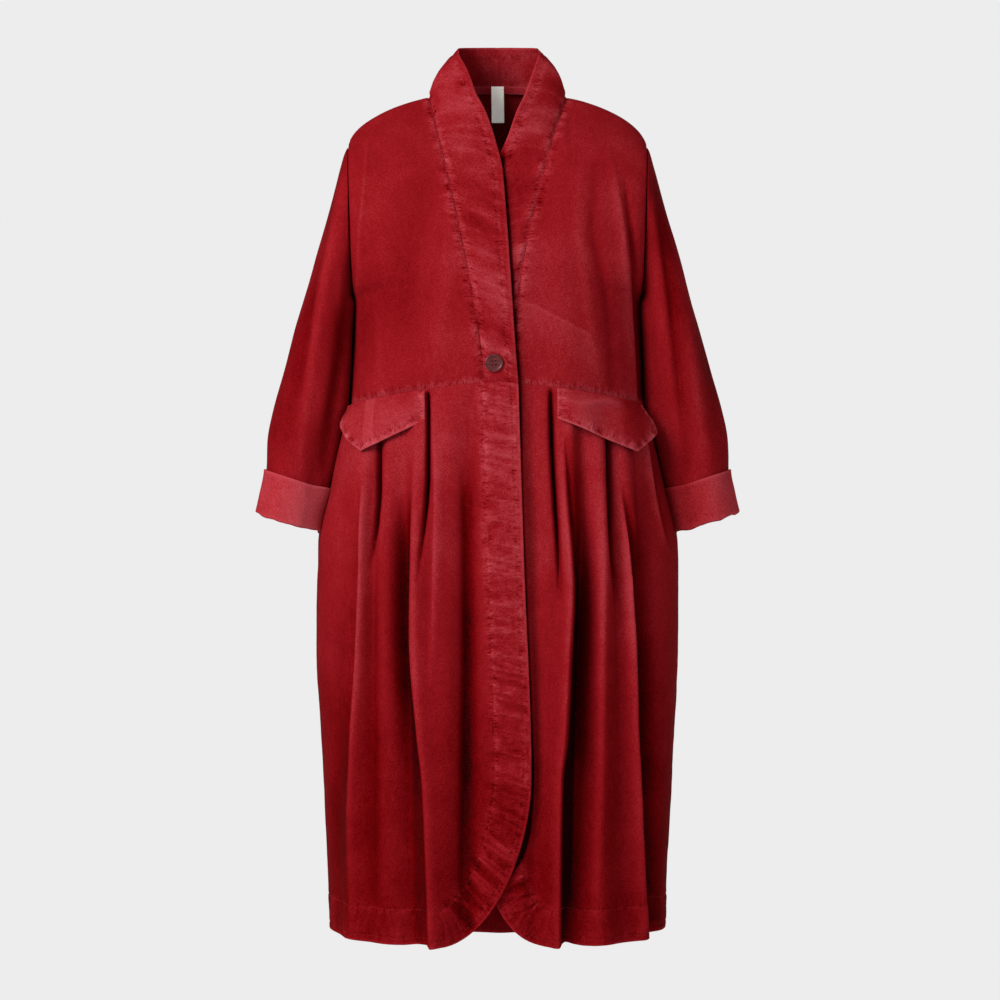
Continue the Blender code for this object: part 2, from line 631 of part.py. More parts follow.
def wall(name, grid, normals, thickness, closed=False):
    """A closed wall, half its thickness on each side of the grid of middle points."""
    rows, columns = grid.shape[:2]
    outer = grid + normals * thickness / 2
    inner = grid - normals * thickness / 2
    points = np.concatenate((outer.reshape(-1, 3), inner.reshape(-1, 3)))
    layer = rows * columns

    def corner(row, col, skin):
        return skin * layer + row * columns + col % columns

    def strip(first, second):
        """The narrow face between the two skins, along the edge from first to second."""
        return [corner(*first, 0), corner(*second, 0), corner(*second, 1), corner(*first, 1)]

    faces = []
    spans = columns if closed else columns - 1
    for row in range(rows - 1):
        for col in range(spans):
            corners = ((row, col), (row + 1, col), (row + 1, col + 1), (row, col + 1))
            quad = [corner(*place, 0) for place in corners]
            for face in two_triangles(quad, points):
                faces.append(face)
                faces.append([index + layer for index in reversed(face)])
    for col in range(spans):
        faces.append(strip((0, col), (0, col + 1)))
        faces.append(strip((rows - 1, col + 1), (rows - 1, col)))
    if not closed:
        for row in range(rows - 1):
            faces.append(strip((row + 1, 0), (row, 0)))
            faces.append(strip((row, columns - 1), (row + 1, columns - 1)))
    return add_object(name, points, faces)


def signed_volume(points, faces):
    total = 0.0
    for face in faces:
        first = points[face[0]]
        for second, third in zip(face[1:-1], face[2:]):
            total += float(np.dot(first, np.cross(points[second], points[third])))
    return total / 6.0


def add_object(name, points, faces):
    """A mesh object whose faces are turned outwards, all together, if they point in."""
    if signed_volume(points, faces) < 0.0:
        faces = [list(reversed(face)) for face in faces]
    mesh = bpy.data.meshes.new(name)
    mesh.from_pydata([tuple(point) for point in points], [], faces)
    mesh.validate()
    mesh.shade_smooth()
    mesh.set_sharp_from_angle(angle=math.radians(50.0))
    made = bpy.data.objects.new(name, mesh)
    bpy.context.scene.collection.objects.link(made)
    return made


def finish(made, colour, roughness):
    material = bpy.data.materials.new(made.name + "_finish")
    material.use_nodes = True
    shader = material.node_tree.nodes["Principled BSDF"]
    shader.inputs["Base Color"].default_value = colour
    shader.inputs["Roughness"].default_value = roughness
    shader.inputs["Metallic"].default_value = 0.0
    made.data.materials.append(material)


# ---- pieces -------------------------------------------------------------------------------------
def side_word(side):
    return "right" if side == RIGHT else "left"


def facing_out(grid, normals, centre):
    """Turns the normals, all together, away from the line x, y = centre."""
    away = grid[..., :2] - np.asarray(centre)
    if float((away * normals[..., :2]).sum()) < 0.0:
        return -normals
    return normals


def make_skirt():
    for side in (RIGHT, LEFT):
        grid = skirt_front_grid(side)
        normals = facing_out(grid, grid_normals(grid, False), (0.0, 0.0))
        for level in (0, -1):
            normals[level] = flattened(normals[level], 2)
        normals[:, -1] = flattened(normals[:, -1], 1)
        finish(wall("skirt_front_" + side_word(side), grid, normals, CLOTH), VELVET, 0.85)
    grid = skirt_back_grid()
    normals = facing_out(grid, grid_normals(grid, False), (0.0, 0.0))
    normals[0] = flattened(normals[0], 2)
    normals[:, 0] = flattened(normals[:, 0], 1)
    normals[:, -1] = flattened(normals[:, -1], 1)
    finish(wall("skirt_back", grid, normals, CLOTH), VELVET, 0.85)


def bodice_front_normals(side, grid):
    normals = facing_out(grid, grid_normals(grid, False), (0.0, 0.0))
    normals[0] = flattened(normals[0], 2)
    below = round(UNDERARM_UP * BODICE_ROWS) + 1
    normals[:below, -1] = flattened(normals[:below, -1], 1)
    normals[-1] = flattened(normals[-1], 1)
    for index, up in enumerate(bodice_ups()):
        normals[index, 0] = seam_normal(side, up)
    return normals


def make_bodice():
    for side in (RIGHT, LEFT):
        grid = bodice_front_grid(side)
        normals = bodice_front_normals(side, grid)
        finish(wall("bodice_front_" + side_word(side), grid, normals, CLOTH), VELVET, 0.85)
    grid = bodice_back_grid()
    normals = facing_out(grid, grid_normals(grid, False), (0.0, 0.0))
    normals[0] = flattened(normals[0], 2)
    below = round(UNDERARM_UP * BODICE_ROWS) + 1
    for edge in (0, -1):
        normals[:below, edge] = flattened(normals[:below, edge], 1)
    for index, share in enumerate(back_shares()):
        if abs(share) <= neck_share() + 1e-9:
            normals[-1, index] = seam_normal(math.copysign(1.0, share), 2.0 - abs(share) / neck_share())
        else:
            normals[-1, index] = flattened(normals[-1, index], 1)
    finish(wall("bodice_back", grid, normals, CLOTH), VELVET, 0.85)


def make_bands():
    for side in (RIGHT, LEFT):
        grid = band_grid(side)
        normals = grid_normals(grid, False)
        if float(normals[0, 0, 1]) > 0.0:
            normals = -normals
        normals[0] = flattened(normals[0], 2)
        normals[-1] = flattened(normals[-1], 0)
        for index, along in enumerate(band_alongs()):
            normals[index, 0] = seam_normal(side, along)
        finish(wall("collar_band_" + side_word(side), grid, normals, CLOTH), VELVET, 0.85)


def make_sleeves():
    for side in (RIGHT, LEFT):
        grid = sleeve_grid(side)
        normals = grid_normals(grid, True)
        middle = grid[-1, :, :2].mean(axis=0)
        if float(((grid[-1, :, :2] - middle) * normals[-1, :, :2]).sum()) < 0.0:
            normals = -normals
        normals[0] = flattened(normals[0], 0)
        finish(wall("sleeve_" + side_word(side), grid, normals, CLOTH, closed=True), VELVET, 0.85)
        moved = (grid + normals * (CLOTH + SEAM_GAP))[CUFF_TOP_RING:]
        cuff = wall("cuff_" + side_word(side), moved, normals[CUFF_TOP_RING:], CLOTH, closed=True)
        finish(cuff, VELVET_WRONG_SIDE, 0.9)


def make_flaps():
    for side, table in ((RIGHT, RIGHT_FLAP), (LEFT, LEFT_FLAP)):
        columns = []
        for cut in table:
            drops = np.linspace(cut.upper, cut.lower, FLAP_ROWS + 1)
            points = []
            for drop in drops:
                out = CLOTH + LAYER_GAP + FLAP_AIR + cut.lift * ease(0.0, 0.03, drop)
                points.append(skirt_row(side, -1, (), np.array([cut.arc]), drop / FOLD_DROPS[-1], out)[0])
            columns.append(points)
        grid = np.array(columns)
        normals = facing_out(grid, grid_normals(grid, False), (0.0, 0.0))
        finish(wall("pocket_flap_" + side_word(side), grid, normals, CLOTH), VELVET, 0.85)


def make_neck_tape():
    """A flat tape inside the back neck, along its seam."""
    angles = np.linspace(-TAPE_REACH, TAPE_REACH, 11)
    rows = []
    for degrees in angles:
        along = 2.0 - abs(degrees) / 90.0
        point = neckline(along)
        point[0] = math.copysign(abs(point[0]), degrees) if degrees else 0.0
        flat = np.array((point[0] / NECK_HALF, point[1] / NECK_BACK_Y, 0.0))
        flat /= np.linalg.norm(flat)
        point = point - flat * (CLOTH / 2 + TAPE_THICK / 2 + LAYER_GAP + TAPE_AIR)
        point[2] -= TAPE_BELOW_SEAM
        rows.append([point, point - np.array((0.0, 0.0, TAPE_WIDTH))])
    grid = np.array(rows)
    normals = facing_out(grid, grid_normals(grid, False), (0.0, 0.0))
    finish(wall("neck_tape", grid, normals, TAPE_THICK), VELVET, 0.8)


def make_label():
    """A folded ribbon that hangs from the neck tape."""
    front = NECK_BACK_Y - CLOTH - TAPE_THICK - TAPE_AIR - LABEL_THICK - 2 * LAYER_GAP
    drops = np.linspace(0.0, LABEL_DROP, 4)
    rows = []
    for drop in drops:
        lean = 0.004 * (drop / LABEL_DROP) ** 2
        rows.append([np.array((x, front - lean, NECK_BACK_Z - TAPE_BELOW_SEAM - drop))
                     for x in (-LABEL_WIDTH / 2, LABEL_WIDTH / 2)])
    grid = np.array(rows)
    normals = grid_normals(grid, False)
    finish(wall("label", grid, normals, LABEL_THICK), LABEL_CREAM, 0.7)


def ring_points(radius, y, count, centre_x=0.0, centre_z=0.0):
    angle = np.linspace(0.0, 2.0 * math.pi, count, endpoint=False)
    return [(centre_x + radius * math.cos(a), y, centre_z + radius * math.sin(a)) for a in angle]


def turned(name, profile, count):
    """A solid turned about Y from (radius, y) pairs, closed at both ends."""
    points = []
    for radius, y in profile:
        points.extend(ring_points(radius, y, count))
    faces = []
    for ring in range(len(profile) - 1):
        for step in range(count):
            after = (step + 1) % count
            faces.append([ring * count + step, ring * count + after,
                          (ring + 1) * count + after, (ring + 1) * count + step])
    faces.append(list(reversed(range(count))))
    last = (len(profile) - 1) * count
    faces.append([last + step for step in range(count)])
    return add_object(name, np.array(points), faces)


def make_button():
    """A dished button with four thread holes, flat against the upper band."""
    up = 1.0 - BUTTON_Z / WAIST_Z
    seat = bodice_front_row(RIGHT, up, xs=np.array([-BUTTON_X]))[0]
    back = -CLOTH / 2 - LAYER_GAP
    front = back - BUTTON_THICK
    dish = front + BUTTON_DISH
    inside = BUTTON_RADIUS - BUTTON_RIM
    profile = (
        (BUTTON_RADIUS - 0.0012, back),
        (BUTTON_RADIUS, back - 0.0012),
        (BUTTON_RADIUS, front + 0.0010),
        (BUTTON_RADIUS - 0.0006, front + 0.0001),
        (inside + 0.0004, front),
        (inside - 0.0004, dish),
    )
    button = turned("button", profile, 20)
    cutter = add_cutter(back, front)
    cut = button.modifiers.new("thread holes", "BOOLEAN")
    cut.operation = "DIFFERENCE"
    cut.solver = "EXACT"
    cut.object = cutter
    for placed in (button, cutter):
        placed.location = (BUTTON_X, float(seat[1]) - 0.0006, BUTTON_Z)
    finish(button, BUTTON_RED, 0.35)


def add_cutter(back, front):
    """Four round bars, one for each thread hole."""
    points, faces = [], []
    count = 8
    for across in (-BUTTON_HOLE_STEP, BUTTON_HOLE_STEP):
        for high in (-BUTTON_HOLE_STEP, BUTTON_HOLE_STEP):
            first = len(points)
            points.extend(ring_points(BUTTON_HOLE_RADIUS, back + 0.002, count, across, high))
            points.extend(ring_points(BUTTON_HOLE_RADIUS, front - 0.002, count, across, high))
            for step in range(count):
                after = (step + 1) % count
                faces.append([first + step, first + after, first + count + after, first + count + step])
            faces.append([first + step for step in reversed(range(count))])
            faces.append([first + count + step for step in range(count)])
    cutter = add_object("thread_hole_cutter", np.array(points), faces)
    cutter.hide_render = True
    cutter.display_type = "WIRE"
    return cutter


def main():
    for old in list(bpy.data.objects):
        bpy.data.objects.remove(old, do_unlink=True)
    make_skirt()
    make_bodice()
    make_bands()
    make_sleeves()
    make_flaps()
    make_neck_tape()
    make_label()
    make_button()


main()
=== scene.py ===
import math
from collections import namedtuple

import bpy
import numpy as np
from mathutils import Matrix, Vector


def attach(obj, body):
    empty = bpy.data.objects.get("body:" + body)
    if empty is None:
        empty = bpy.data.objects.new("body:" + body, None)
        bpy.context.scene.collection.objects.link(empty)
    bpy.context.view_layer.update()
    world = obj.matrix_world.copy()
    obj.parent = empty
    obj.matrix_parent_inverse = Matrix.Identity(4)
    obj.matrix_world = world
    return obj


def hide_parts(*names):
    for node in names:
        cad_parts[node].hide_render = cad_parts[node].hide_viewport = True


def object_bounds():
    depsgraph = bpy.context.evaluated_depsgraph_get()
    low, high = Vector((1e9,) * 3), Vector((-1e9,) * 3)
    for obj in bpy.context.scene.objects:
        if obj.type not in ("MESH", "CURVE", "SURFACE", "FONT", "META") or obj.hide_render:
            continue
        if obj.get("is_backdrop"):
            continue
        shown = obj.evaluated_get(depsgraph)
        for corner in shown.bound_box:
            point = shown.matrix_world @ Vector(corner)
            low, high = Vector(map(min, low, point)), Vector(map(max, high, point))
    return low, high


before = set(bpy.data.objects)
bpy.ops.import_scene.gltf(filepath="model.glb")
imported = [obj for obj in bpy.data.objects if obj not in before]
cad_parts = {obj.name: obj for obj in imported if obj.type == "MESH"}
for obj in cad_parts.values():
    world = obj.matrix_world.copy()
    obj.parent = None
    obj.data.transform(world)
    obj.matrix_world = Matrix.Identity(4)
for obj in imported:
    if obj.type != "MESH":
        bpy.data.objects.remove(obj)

bl_info = {
    "name": "Velvet overcoat",
    "version": (1, 0, 0),
    "blender": (4, 5, 0),
    "location": "3D View > Sidebar > Overcoat",
    "description": "A long red velvet coat, worn shape with nobody in it, "
                   "with its stitching, button, label and studio",
    "category": "Object",
}

MM = 0.001

# ---- studio ----
FLOOR_Z = -1.46
CAMERA_X = 0.0034
CAMERA_Z = -0.547
CAMERA_AWAY = 6.0
FRAME_WIDE = 1.36           # width of the picture where the coat stands, in metres
LOOK_AT = (0.0, 0.0, -0.50)
KEY_PLACE = (-2.5, -2.5, 1.15)
FILL_PLACE = (2.6, -3.0, -0.1)

# ---- the coat's form: the same sizes as its solids ----
WAIST_Z = -0.390            # waist seam at the centre front
WAIST_BACK_Z = -0.400       # waist seam at the centre back
WAIST_SIDE_Z = -0.418       # waist seam at the side seams
HEM_Z = -1.138              # hem at the centre front
HEM_BACK_Z = -1.150         # hem at the centre back
HEM_SIDE_Z = -1.125         # hem at the side seams
ROUNDNESS = 2.4             # exponent of the ring outline, 2 is an ellipse
WAIST_SWEEP = 1.5
HEM_SWEEP = 5.0
NECK_HALF = 0.093           # shoulder seam's inner end, from the centre line
NECK_BACK_Y = 0.072
NECK_BACK_Z = 0.018
TIP = (0.2025, 0.004, -0.0685)          # top of the armhole
UNDERARM = (0.1945, 0.004, -0.275)      # bottom of the armhole
ARMHOLE_HALF = 0.066
UNDERARM_UP = 4 / 11        # share of the bodice's height that lies below the armhole
SHOULDER_SQUARENESS = 0.48
SHOULDER_SWEEP_LOSS = 0.20
BACK_TURNS_TO_NECK = 0.42   # height where the back starts to take the line of the neck
ARMHOLE_HOLDS = 1.5         # power by which the back's rows come to end on the armhole
BAND_WAIST_HALF = 0.0170
BAND_BULGE = 0.0065
BAND_LEAVES_FRONT = (0.60, 0.75)
OVER_LIFT = 0.0015          # how far the upper front stands out where the fronts cross
UNDER_SINK = 0.0070         # how far the lower front is pressed in there
OVER_CORNER = (0.70, 0.120, 1.8)
UNDER_CORNER = (0.80, 0.092, 2.2)
CUT_FADE = 3
SEAM_FADE = 0.022           # folds die out over this arc beside a side seam
WAIST_FADE = 0.020          # and over this drop below the waist seam
SLEEVE_CENTRE_Y = 0.004
SLEEVE_ROUNDNESS = 2.3
CUFF_TOP_RING = 9
FLAP_STANDS_OFF = 0.0060    # middle of a flap, off the middle of the skirt
SEAM_GAP = 0.00006

RIGHT, LEFT = -1, 1         # the wearer's sides, as signs of X

SkirtRing = namedtuple("SkirtRing", "down half_width front back")
SKIRT_RINGS = (
    SkirtRing(0.00, 0.2006, 0.135, 0.120),
    SkirtRing(0.06, 0.2125, 0.147, 0.131),
    SkirtRing(0.16, 0.2278, 0.160, 0.144),
    SkirtRing(0.27, 0.2435, 0.170, 0.155),
    SkirtRing(0.45, 0.2445, 0.178, 0.163),
    SkirtRing(0.70, 0.2360, 0.180, 0.166),
    SkirtRing(1.00, 0.2265, 0.174, 0.162),
)
Level = namedtuple("Level", "z size")
FRONT_LEVELS = (            # depth of the bodice front at the centre line
    Level(-0.390, 0.135), Level(-0.280, 0.128), Level(-0.200, 0.116), Level(-0.140, 0.098),
    Level(-0.080, 0.070), Level(-0.035, 0.034), Level(0.000, 0.000),
)
BACK_LEVELS = (             # depth of the back at the centre line
    Level(-0.400, 0.120), Level(-0.280, 0.118), Level(-0.160, 0.122), Level(-0.080, 0.114),
    Level(-0.030, 0.097), Level(0.018, 0.072),
)
SIDE_LEVELS = (             # half width of the side seam
    Level(-0.418, 0.2006), Level(-0.340, 0.1965), Level(-0.275, 0.1945),
)
# The band's free edge, by its seam's place: 0 at the waist, 1 at the shoulder seam, 2 at
# the centre back. Beyond is its reach over the centre line; y is None on the front.
BandRow = namedtuple("BandRow", "along beyond y z")
OVER_BAND = (
    BandRow(0.00, 0.0272, None, -0.390),
    BandRow(0.15, 0.0225, None, -0.331),
    BandRow(0.30, 0.0185, None, -0.271),
    BandRow(0.45, 0.0145, None, -0.210),
    BandRow(0.60, 0.0100, None, -0.149),
    BandRow(0.70, 0.0060, None, -0.103),
    BandRow(0.77, -0.0034, -0.0640, -0.063),
    BandRow(0.84, -0.0168, -0.0500, -0.0225),
    BandRow(0.90, -0.0303, -0.0340, 0.0045),
    BandRow(0.955, -0.0400, -0.0160, 0.0330),
    BandRow(1.00, -0.0530, 0.0030, 0.0590),
    BandRow(1.33, -0.0530, 0.0240, 0.0690),
    BandRow(1.66, -0.0310, 0.0465, 0.0720),
    BandRow(2.00, -0.0002, 0.0550, 0.0730),
)
UNDER_BAND = (
    BandRow(0.00, 0.0272, None, -0.390),
    BandRow(0.15, 0.0225, None, -0.331),
    BandRow(0.30, 0.0185, None, -0.271),
    BandRow(0.45, 0.0150, None, -0.210),
    BandRow(0.60, 0.0100, None, -0.149),
    BandRow(0.70, 0.0020, None, -0.100),
    BandRow(0.77, -0.0155, -0.0600, -0.055),
    BandRow(0.84, -0.0262, -0.0470, -0.0230),
    BandRow(0.90, -0.0370, -0.0310, 0.0010),
    BandRow(0.955, -0.0470, -0.0150, 0.0300),
    BandRow(1.00, -0.0560, 0.0030, 0.0580),
    BandRow(1.33, -0.0540, 0.0240, 0.0690),
    BandRow(1.66, -0.0310, 0.0465, 0.0720),
    BandRow(2.00, -0.0002, 0.0550, 0.0730),
)
SleeveRing = namedtuple("SleeveRing", "outer_x outer_z inner_x inner_z half_depth")
SLEEVE_RINGS = (
    SleeveRing(0.2042, -0.0685, 0.1968, -0.2750, 0.0660),
    SleeveRing(0.2150, -0.1050, 0.1992, -0.2890, 0.0680),
    SleeveRing(0.2278, -0.1526, 0.1990, -0.3060, 0.0700),
    SleeveRing(0.2428, -0.2070, 0.1995, -0.3260, 0.0720),
    SleeveRing(0.2577, -0.2614, 0.2008, -0.3500, 0.0730),
    SleeveRing(0.2740, -0.3158, 0.2032, -0.3820, 0.0730),
    SleeveRing(0.2890, -0.3702, 0.2070, -0.4180, 0.0720),
    SleeveRing(0.3040, -0.4246, 0.2175, -0.4600, 0.0700),
    SleeveRing(0.3120, -0.4700, 0.2275, -0.5000, 0.0680),
    SleeveRing(0.3135, -0.5060, 0.2345, -0.5334, 0.0670),
    SleeveRing(0.3190, -0.5350, 0.2405, -0.5620, 0.0680),
    SleeveRing(0.3238, -0.5620, 0.2460, -0.5895, 0.0690),
)
# A broad fold of the skirt: arcs from the centre line and heights at five drops below
# the waist, then the widths of its slopes towards the centre and the side.
FOLD_DROPS = (0.0, 0.07, 0.20, 0.45, 0.744)
Fold = namedtuple("Fold", "arcs depths inner outer")
RIGHT_FOLDS = (
    Fold((0.040, 0.038, 0.036, 0.035, 0.040), (0.000, -0.003, -0.008, -0.010, -0.010), 0.016, 0.020),
    Fold((0.060, 0.062, 0.066, 0.068, 0.070), (0.002, 0.005, 0.006, 0.006, 0.004), 0.018, 0.018),
    Fold((0.105, 0.104, 0.110, 0.103, 0.092), (0.002, 0.007, 0.012, 0.012, 0.013), 0.026, 0.013),
    Fold((0.128, 0.127, 0.128, 0.124, 0.118), (0.000, -0.004, -0.013, -0.012, -0.010), 0.013, 0.020),
    Fold((0.166, 0.167, 0.173, 0.178, 0.182), (-0.002, -0.010, -0.009, -0.004, -0.002), 0.010, 0.011),
    Fold((0.190, 0.192, 0.198, 0.205, 0.212), (0.000, 0.004, 0.009, 0.010, 0.008), 0.020, 0.020),
)
LEFT_FOLDS = (
    Fold((0.046, 0.046, 0.045, 0.049, 0.052), (-0.001, -0.004, -0.006, -0.006, -0.004), 0.013, 0.012),
    Fold((0.079, 0.080, 0.084, 0.076, 0.068), (-0.002, -0.009, -0.008, -0.002, 0.000), 0.010, 0.010),
    Fold((0.094, 0.096, 0.101, 0.091, 0.083), (0.002, 0.007, 0.014, 0.016, 0.006), 0.020, 0.013),
    Fold((0.114, 0.116, 0.119, 0.114, 0.104), (0.000, -0.007, -0.018, -0.020, -0.007), 0.013, 0.017),
    Fold((0.136, 0.136, 0.138, 0.140, 0.142), (0.002, 0.006, 0.010, 0.010, 0.008), 0.016, 0.018),
    Fold((0.157, 0.157, 0.163, 0.170, 0.177), (-0.002, -0.010, -0.009, -0.003, 0.000), 0.010, 0.010),
    Fold((0.174, 0.177, 0.188, 0.196, 0.208), (0.001, 0.004, 0.010, 0.013, 0.013), 0.020, 0.012),
    Fold((0.195, 0.202, 0.210, 0.219, 0.232), (0.000, -0.004, -0.010, -0.012, -0.009), 0.012, 0.020),
)
BACK_FOLDS = (
    Fold((-0.182, -0.186, -0.194, -0.200, -0.206), (0.000, -0.006, -0.010, -0.010, -0.008), 0.016, 0.020),
    Fold((-0.132, -0.133, -0.136, -0.141, -0.147), (0.001, 0.005, 0.011, 0.012, 0.011), 0.020, 0.017),
    Fold((-0.086, -0.087, -0.090, -0.094, -0.096), (0.000, -0.008, -0.013, -0.013, -0.010), 0.017, 0.015),
    Fold((-0.038, -0.038, -0.040, -0.043, -0.048), (0.001, 0.005, 0.009, 0.009, 0.008), 0.020, 0.018),
    Fold((0.012, 0.012, 0.010, 0.006, 0.004), (0.000, -0.006, -0.009, -0.012, -0.010), 0.018, 0.015),
    Fold((0.058, 0.058, 0.061, 0.063, 0.067), (0.001, 0.004, 0.010, 0.011, 0.012), 0.017, 0.020),
    Fold((0.104, 0.105, 0.108, 0.115, 0.120), (0.000, -0.008, -0.012, -0.011, -0.008), 0.015, 0.017),
    Fold((0.150, 0.152, 0.158, 0.165, 0.172), (0.001, 0.004, 0.010, 0.010, 0.009), 0.018, 0.018),
    Fold((0.196, 0.199, 0.206, 0.212, 0.218), (0.000, -0.005, -0.009, -0.008, -0.006), 0.015, 0.018),
)
FlapCut = namedtuple("FlapCut", "arc upper lower lift")
RIGHT_FLAP = (
    FlapCut(0.0970, 0.0015, 0.0420, 0.0000),
    FlapCut(0.1200, 0.0015, 0.0505, 0.0005),
    FlapCut(0.1550, 0.0015, 0.0620, 0.0020),
    FlapCut(0.1870, 0.0015, 0.0725, 0.0030),
    FlapCut(0.2080, 0.0015, 0.0575, 0.0045),
    FlapCut(0.2300, 0.0040, 0.0340, 0.0055),
)
LEFT_FLAP = (
    FlapCut(0.0800, 0.0015, 0.0420, 0.0000),
    FlapCut(0.1080, 0.0015, 0.0500, 0.0040),
    FlapCut(0.1400, 0.0015, 0.0600, 0.0008),
    FlapCut(0.1730, 0.0015, 0.0690, 0.0060),
    FlapCut(0.1900, 0.0015, 0.0730, 0.0070),
    FlapCut(0.2280, 0.0060, 0.0430, 0.0090),
)

# The upper front's free edge, as the lower front sees it: heights and distances from the
# centre line in millimetres.
LAP_HEIGHTS = (-1054, -1041, -1016, -977, -909, -864, -769, -647, -547, -390, -331, -210, -103)
LAP_XS = (7.0, 16.5, 31.0, 40.3, 44.3, 43.0, 39.0, 33.7, 29.7, 27.0, 22.5, 14.5, 6.0)

# ---- creases: finer folds laid on the form, seen from the front or the back ----
# In millimetres: the heights that a crease runs through, its distance from the centre
# line there, how far the cloth stands out (plus) or in (minus) there, and the widths of
# its slopes towards the centre and towards the side.
Crease = namedtuple("Crease", "heights xs depths inner outer")
RIGHT_SKIRT_CREASES = (
    Crease((-666, -613, -574, -547, -513, -434, -404), (106, 101, 96.5, 94, 92.5, 92.8, 93.2),
           (0, -5, -10, -15, -18, -17, -9), 3.0, 2.2),
    Crease((-1134, -1023, -917, -864, -732, -617, -467), (88, 92, 97, 103, 113.5, 112.5, 109),
           (5, 5, 5, 5, 6, 5, 0), 12, 3),
    Crease((-1134, -1023, -917, -864, -732, -617, -534), (95, 99, 104, 110, 121, 120, 116),
           (-5, -6, -8, -10, -13, -12, 0), 3.2, 14),
    Crease((-646, -613, -574, -520, -467), (169, 166, 161, 158.5, 158.5), (0, -4, -12, -18, -16), 3.0, 2.2),
    Crease((-1104, -985, -875, -697, -574, -507), (193, 196, 192, 182, 180, 177),
           (2, 4, 6, 6, 5, 0), 9, 3.5),
    Crease((-1104, -985, -875, -697, -574, -507), (202, 205, 201, 191, 188, 185),
           (-1, -2, -4, -4, -3, 0), 3.5, 12),
    Crease((-1117, -1051, -892, -733, -627), (164, 165, 166, 166, 166), (-1, -3, -4, -4, 0), 8, 8),
    Crease((-800, -735, -660, -590, -520, -460), (90, 86, 84, 82.5, 81.5, 84), (0, 3, 5, 5, 4, 0), 10, 3),
    Crease((-1090, -1011, -892, -733, -600, -500), (47, 46, 44, 42, 42.5, 44),
           (-3, -5, -7, -7, -6, 0), 9, 5),
)
LEFT_SKIRT_CREASES = (
    Crease((-690, -640, -597, -547, -467, -404), (84, 82.5, 80.6, 77.3, 73.4, 72.5),
           (0, -6, -12, -16, -15, -8), 3.6, 2.6),
    Crease((-1134, -1007, -917, -864, -745, -666, -626, -547, -467),
           (80, 80.5, 82, 87, 93.5, 97, 95, 88, 83),
           (4, 5, 5, 5, 5, 5, 5, 4, 0), 12, 3),
    Crease((-1134, -1007, -917, -864, -745, -666, -626, -547, -467),
           (88, 89, 91, 97, 103.5, 106, 104, 97, 92),
           (-9, -12, -14, -15, -15, -14, -13, -11, -3), 3.0, 12),
    Crease((-1130, -1011, -892, -746, -627, -507), (129, 132, 135, 137, 139, 135),
           (1, 3, 4, 5, 4, 0), 9, 9),
    Crease((-690, -653, -600, -520, -470), (158, 154.5, 150.6, 148.7, 148),
           (0, -6, -14, -18, -15), 2.8, 2.4),
    Crease((-1111, -1000, -865, -750, -628, -520), (197, 191, 184, 181, 173, 161),
           (4, 5, 6, 6, 6, 0), 12, 3),
    Crease((-1111, -1000, -865, -750, -628, -520), (206, 200, 193, 189, 181, 168),
           (-7, -10, -12, -13, -12, 0), 3.2, 12),
    Crease((-619, -582, -540, -479, -455), (228, 218, 208.7, 199.5, 197), (0, 4, 5, 4, 0), 6, 2.6),
    Crease((-619, -582, -540, -479, -455), (234, 224, 215, 206, 203), (0, -4, -6, -5, 0), 3, 6),
)
BACK_SKIRT_CREASES = (
    Crease((-1100, -900, -700, -520, -430), (-152, -146, -138, -131, -127), (4, 6, 7, 5, 0), 5, 11),
    Crease((-1100, -900, -700, -560, -470), (-104, -99, -94, -90, -88), (-5, -8, -10, -7, 0), 9, 4),
    Crease((-720, -600, -500, -440), (-60, -62, -63, -63), (0, -6, -8, -5), 3, 3),
    Crease((-1120, -960, -760, -600, -470), (-52, -46, -41, -38, -37), (3, 5, 6, 4, 0), 9, 6),
    Crease((-1110, -900, -700, -540, -450), (2, 4, 8, 11, 12), (-5, -8, -9, -7, 0), 4, 8),
    Crease((-760, -640, -520, -445), (36, 34, 33, 33), (0, -6, -8, -5), 3, 3),
    Crease((-1120, -940, -740, -560, -460), (70, 66, 62, 59, 58), (4, 7, 7, 5, 0), 6, 10),
    Crease((-1100, -900, -690, -550, -460), (123, 116, 109, 105, 104), (-5, -8, -9, -6, 0), 4, 10),
    Crease((-1120, -930, -740, -590, -480), (172, 166, 158, 153, 150), (3, 6, 6, 4, 0), 11, 5),
)
RIGHT_BODICE_CREASES = (
    Crease((-400, -307, -193, -142, -78, -40), (188, 188, 186, 181, 177, 176),
           (0, 1.5, 2, 2, 1.5, 0), 4, 3),
    Crease((-397, -353, -307, -260), (157, 159.5, 161, 162), (0.5, 1.5, 1.2, 0), 6, 6),
    Crease((-387, -320, -227, -146, -80), (125, 123.5, 117, 103.5, 90), (0, -1.5, -2.5, -2, 0), 22, 22),
    Crease((-387, -320, -240, -167), (82, 77, 67, 57), (0, 1.5, 1.5, 0), 16, 14),
)
LEFT_BODICE_CREASES = (
    Crease((-416, -307, -227, -159, -66), (186, 178, 172, 165, 150), (2, 3, 3, 2.5, 0), 9, 4),
    Crease((-414, -307, -227, -167, -106), (194, 188, 183, 177, 171), (-5, -6, -6, -4, 0), 4, 5),
    Crease((-76, -40, -8), (97, 98, 99.5), (0, -1.2, 0), 5, 5),
    Crease((-408, -280, -227, -183, -80), (157, 147.5, 137, 129, 134), (-2, -2.5, -2.5, -2.2, 0), 8, 8),
    Crease((-400, -320, -240, -173, -80), (137, 126, 115.5, 107.5, 114), (0, 1.5, 1.8, 1.6, 0), 9, 10),
)
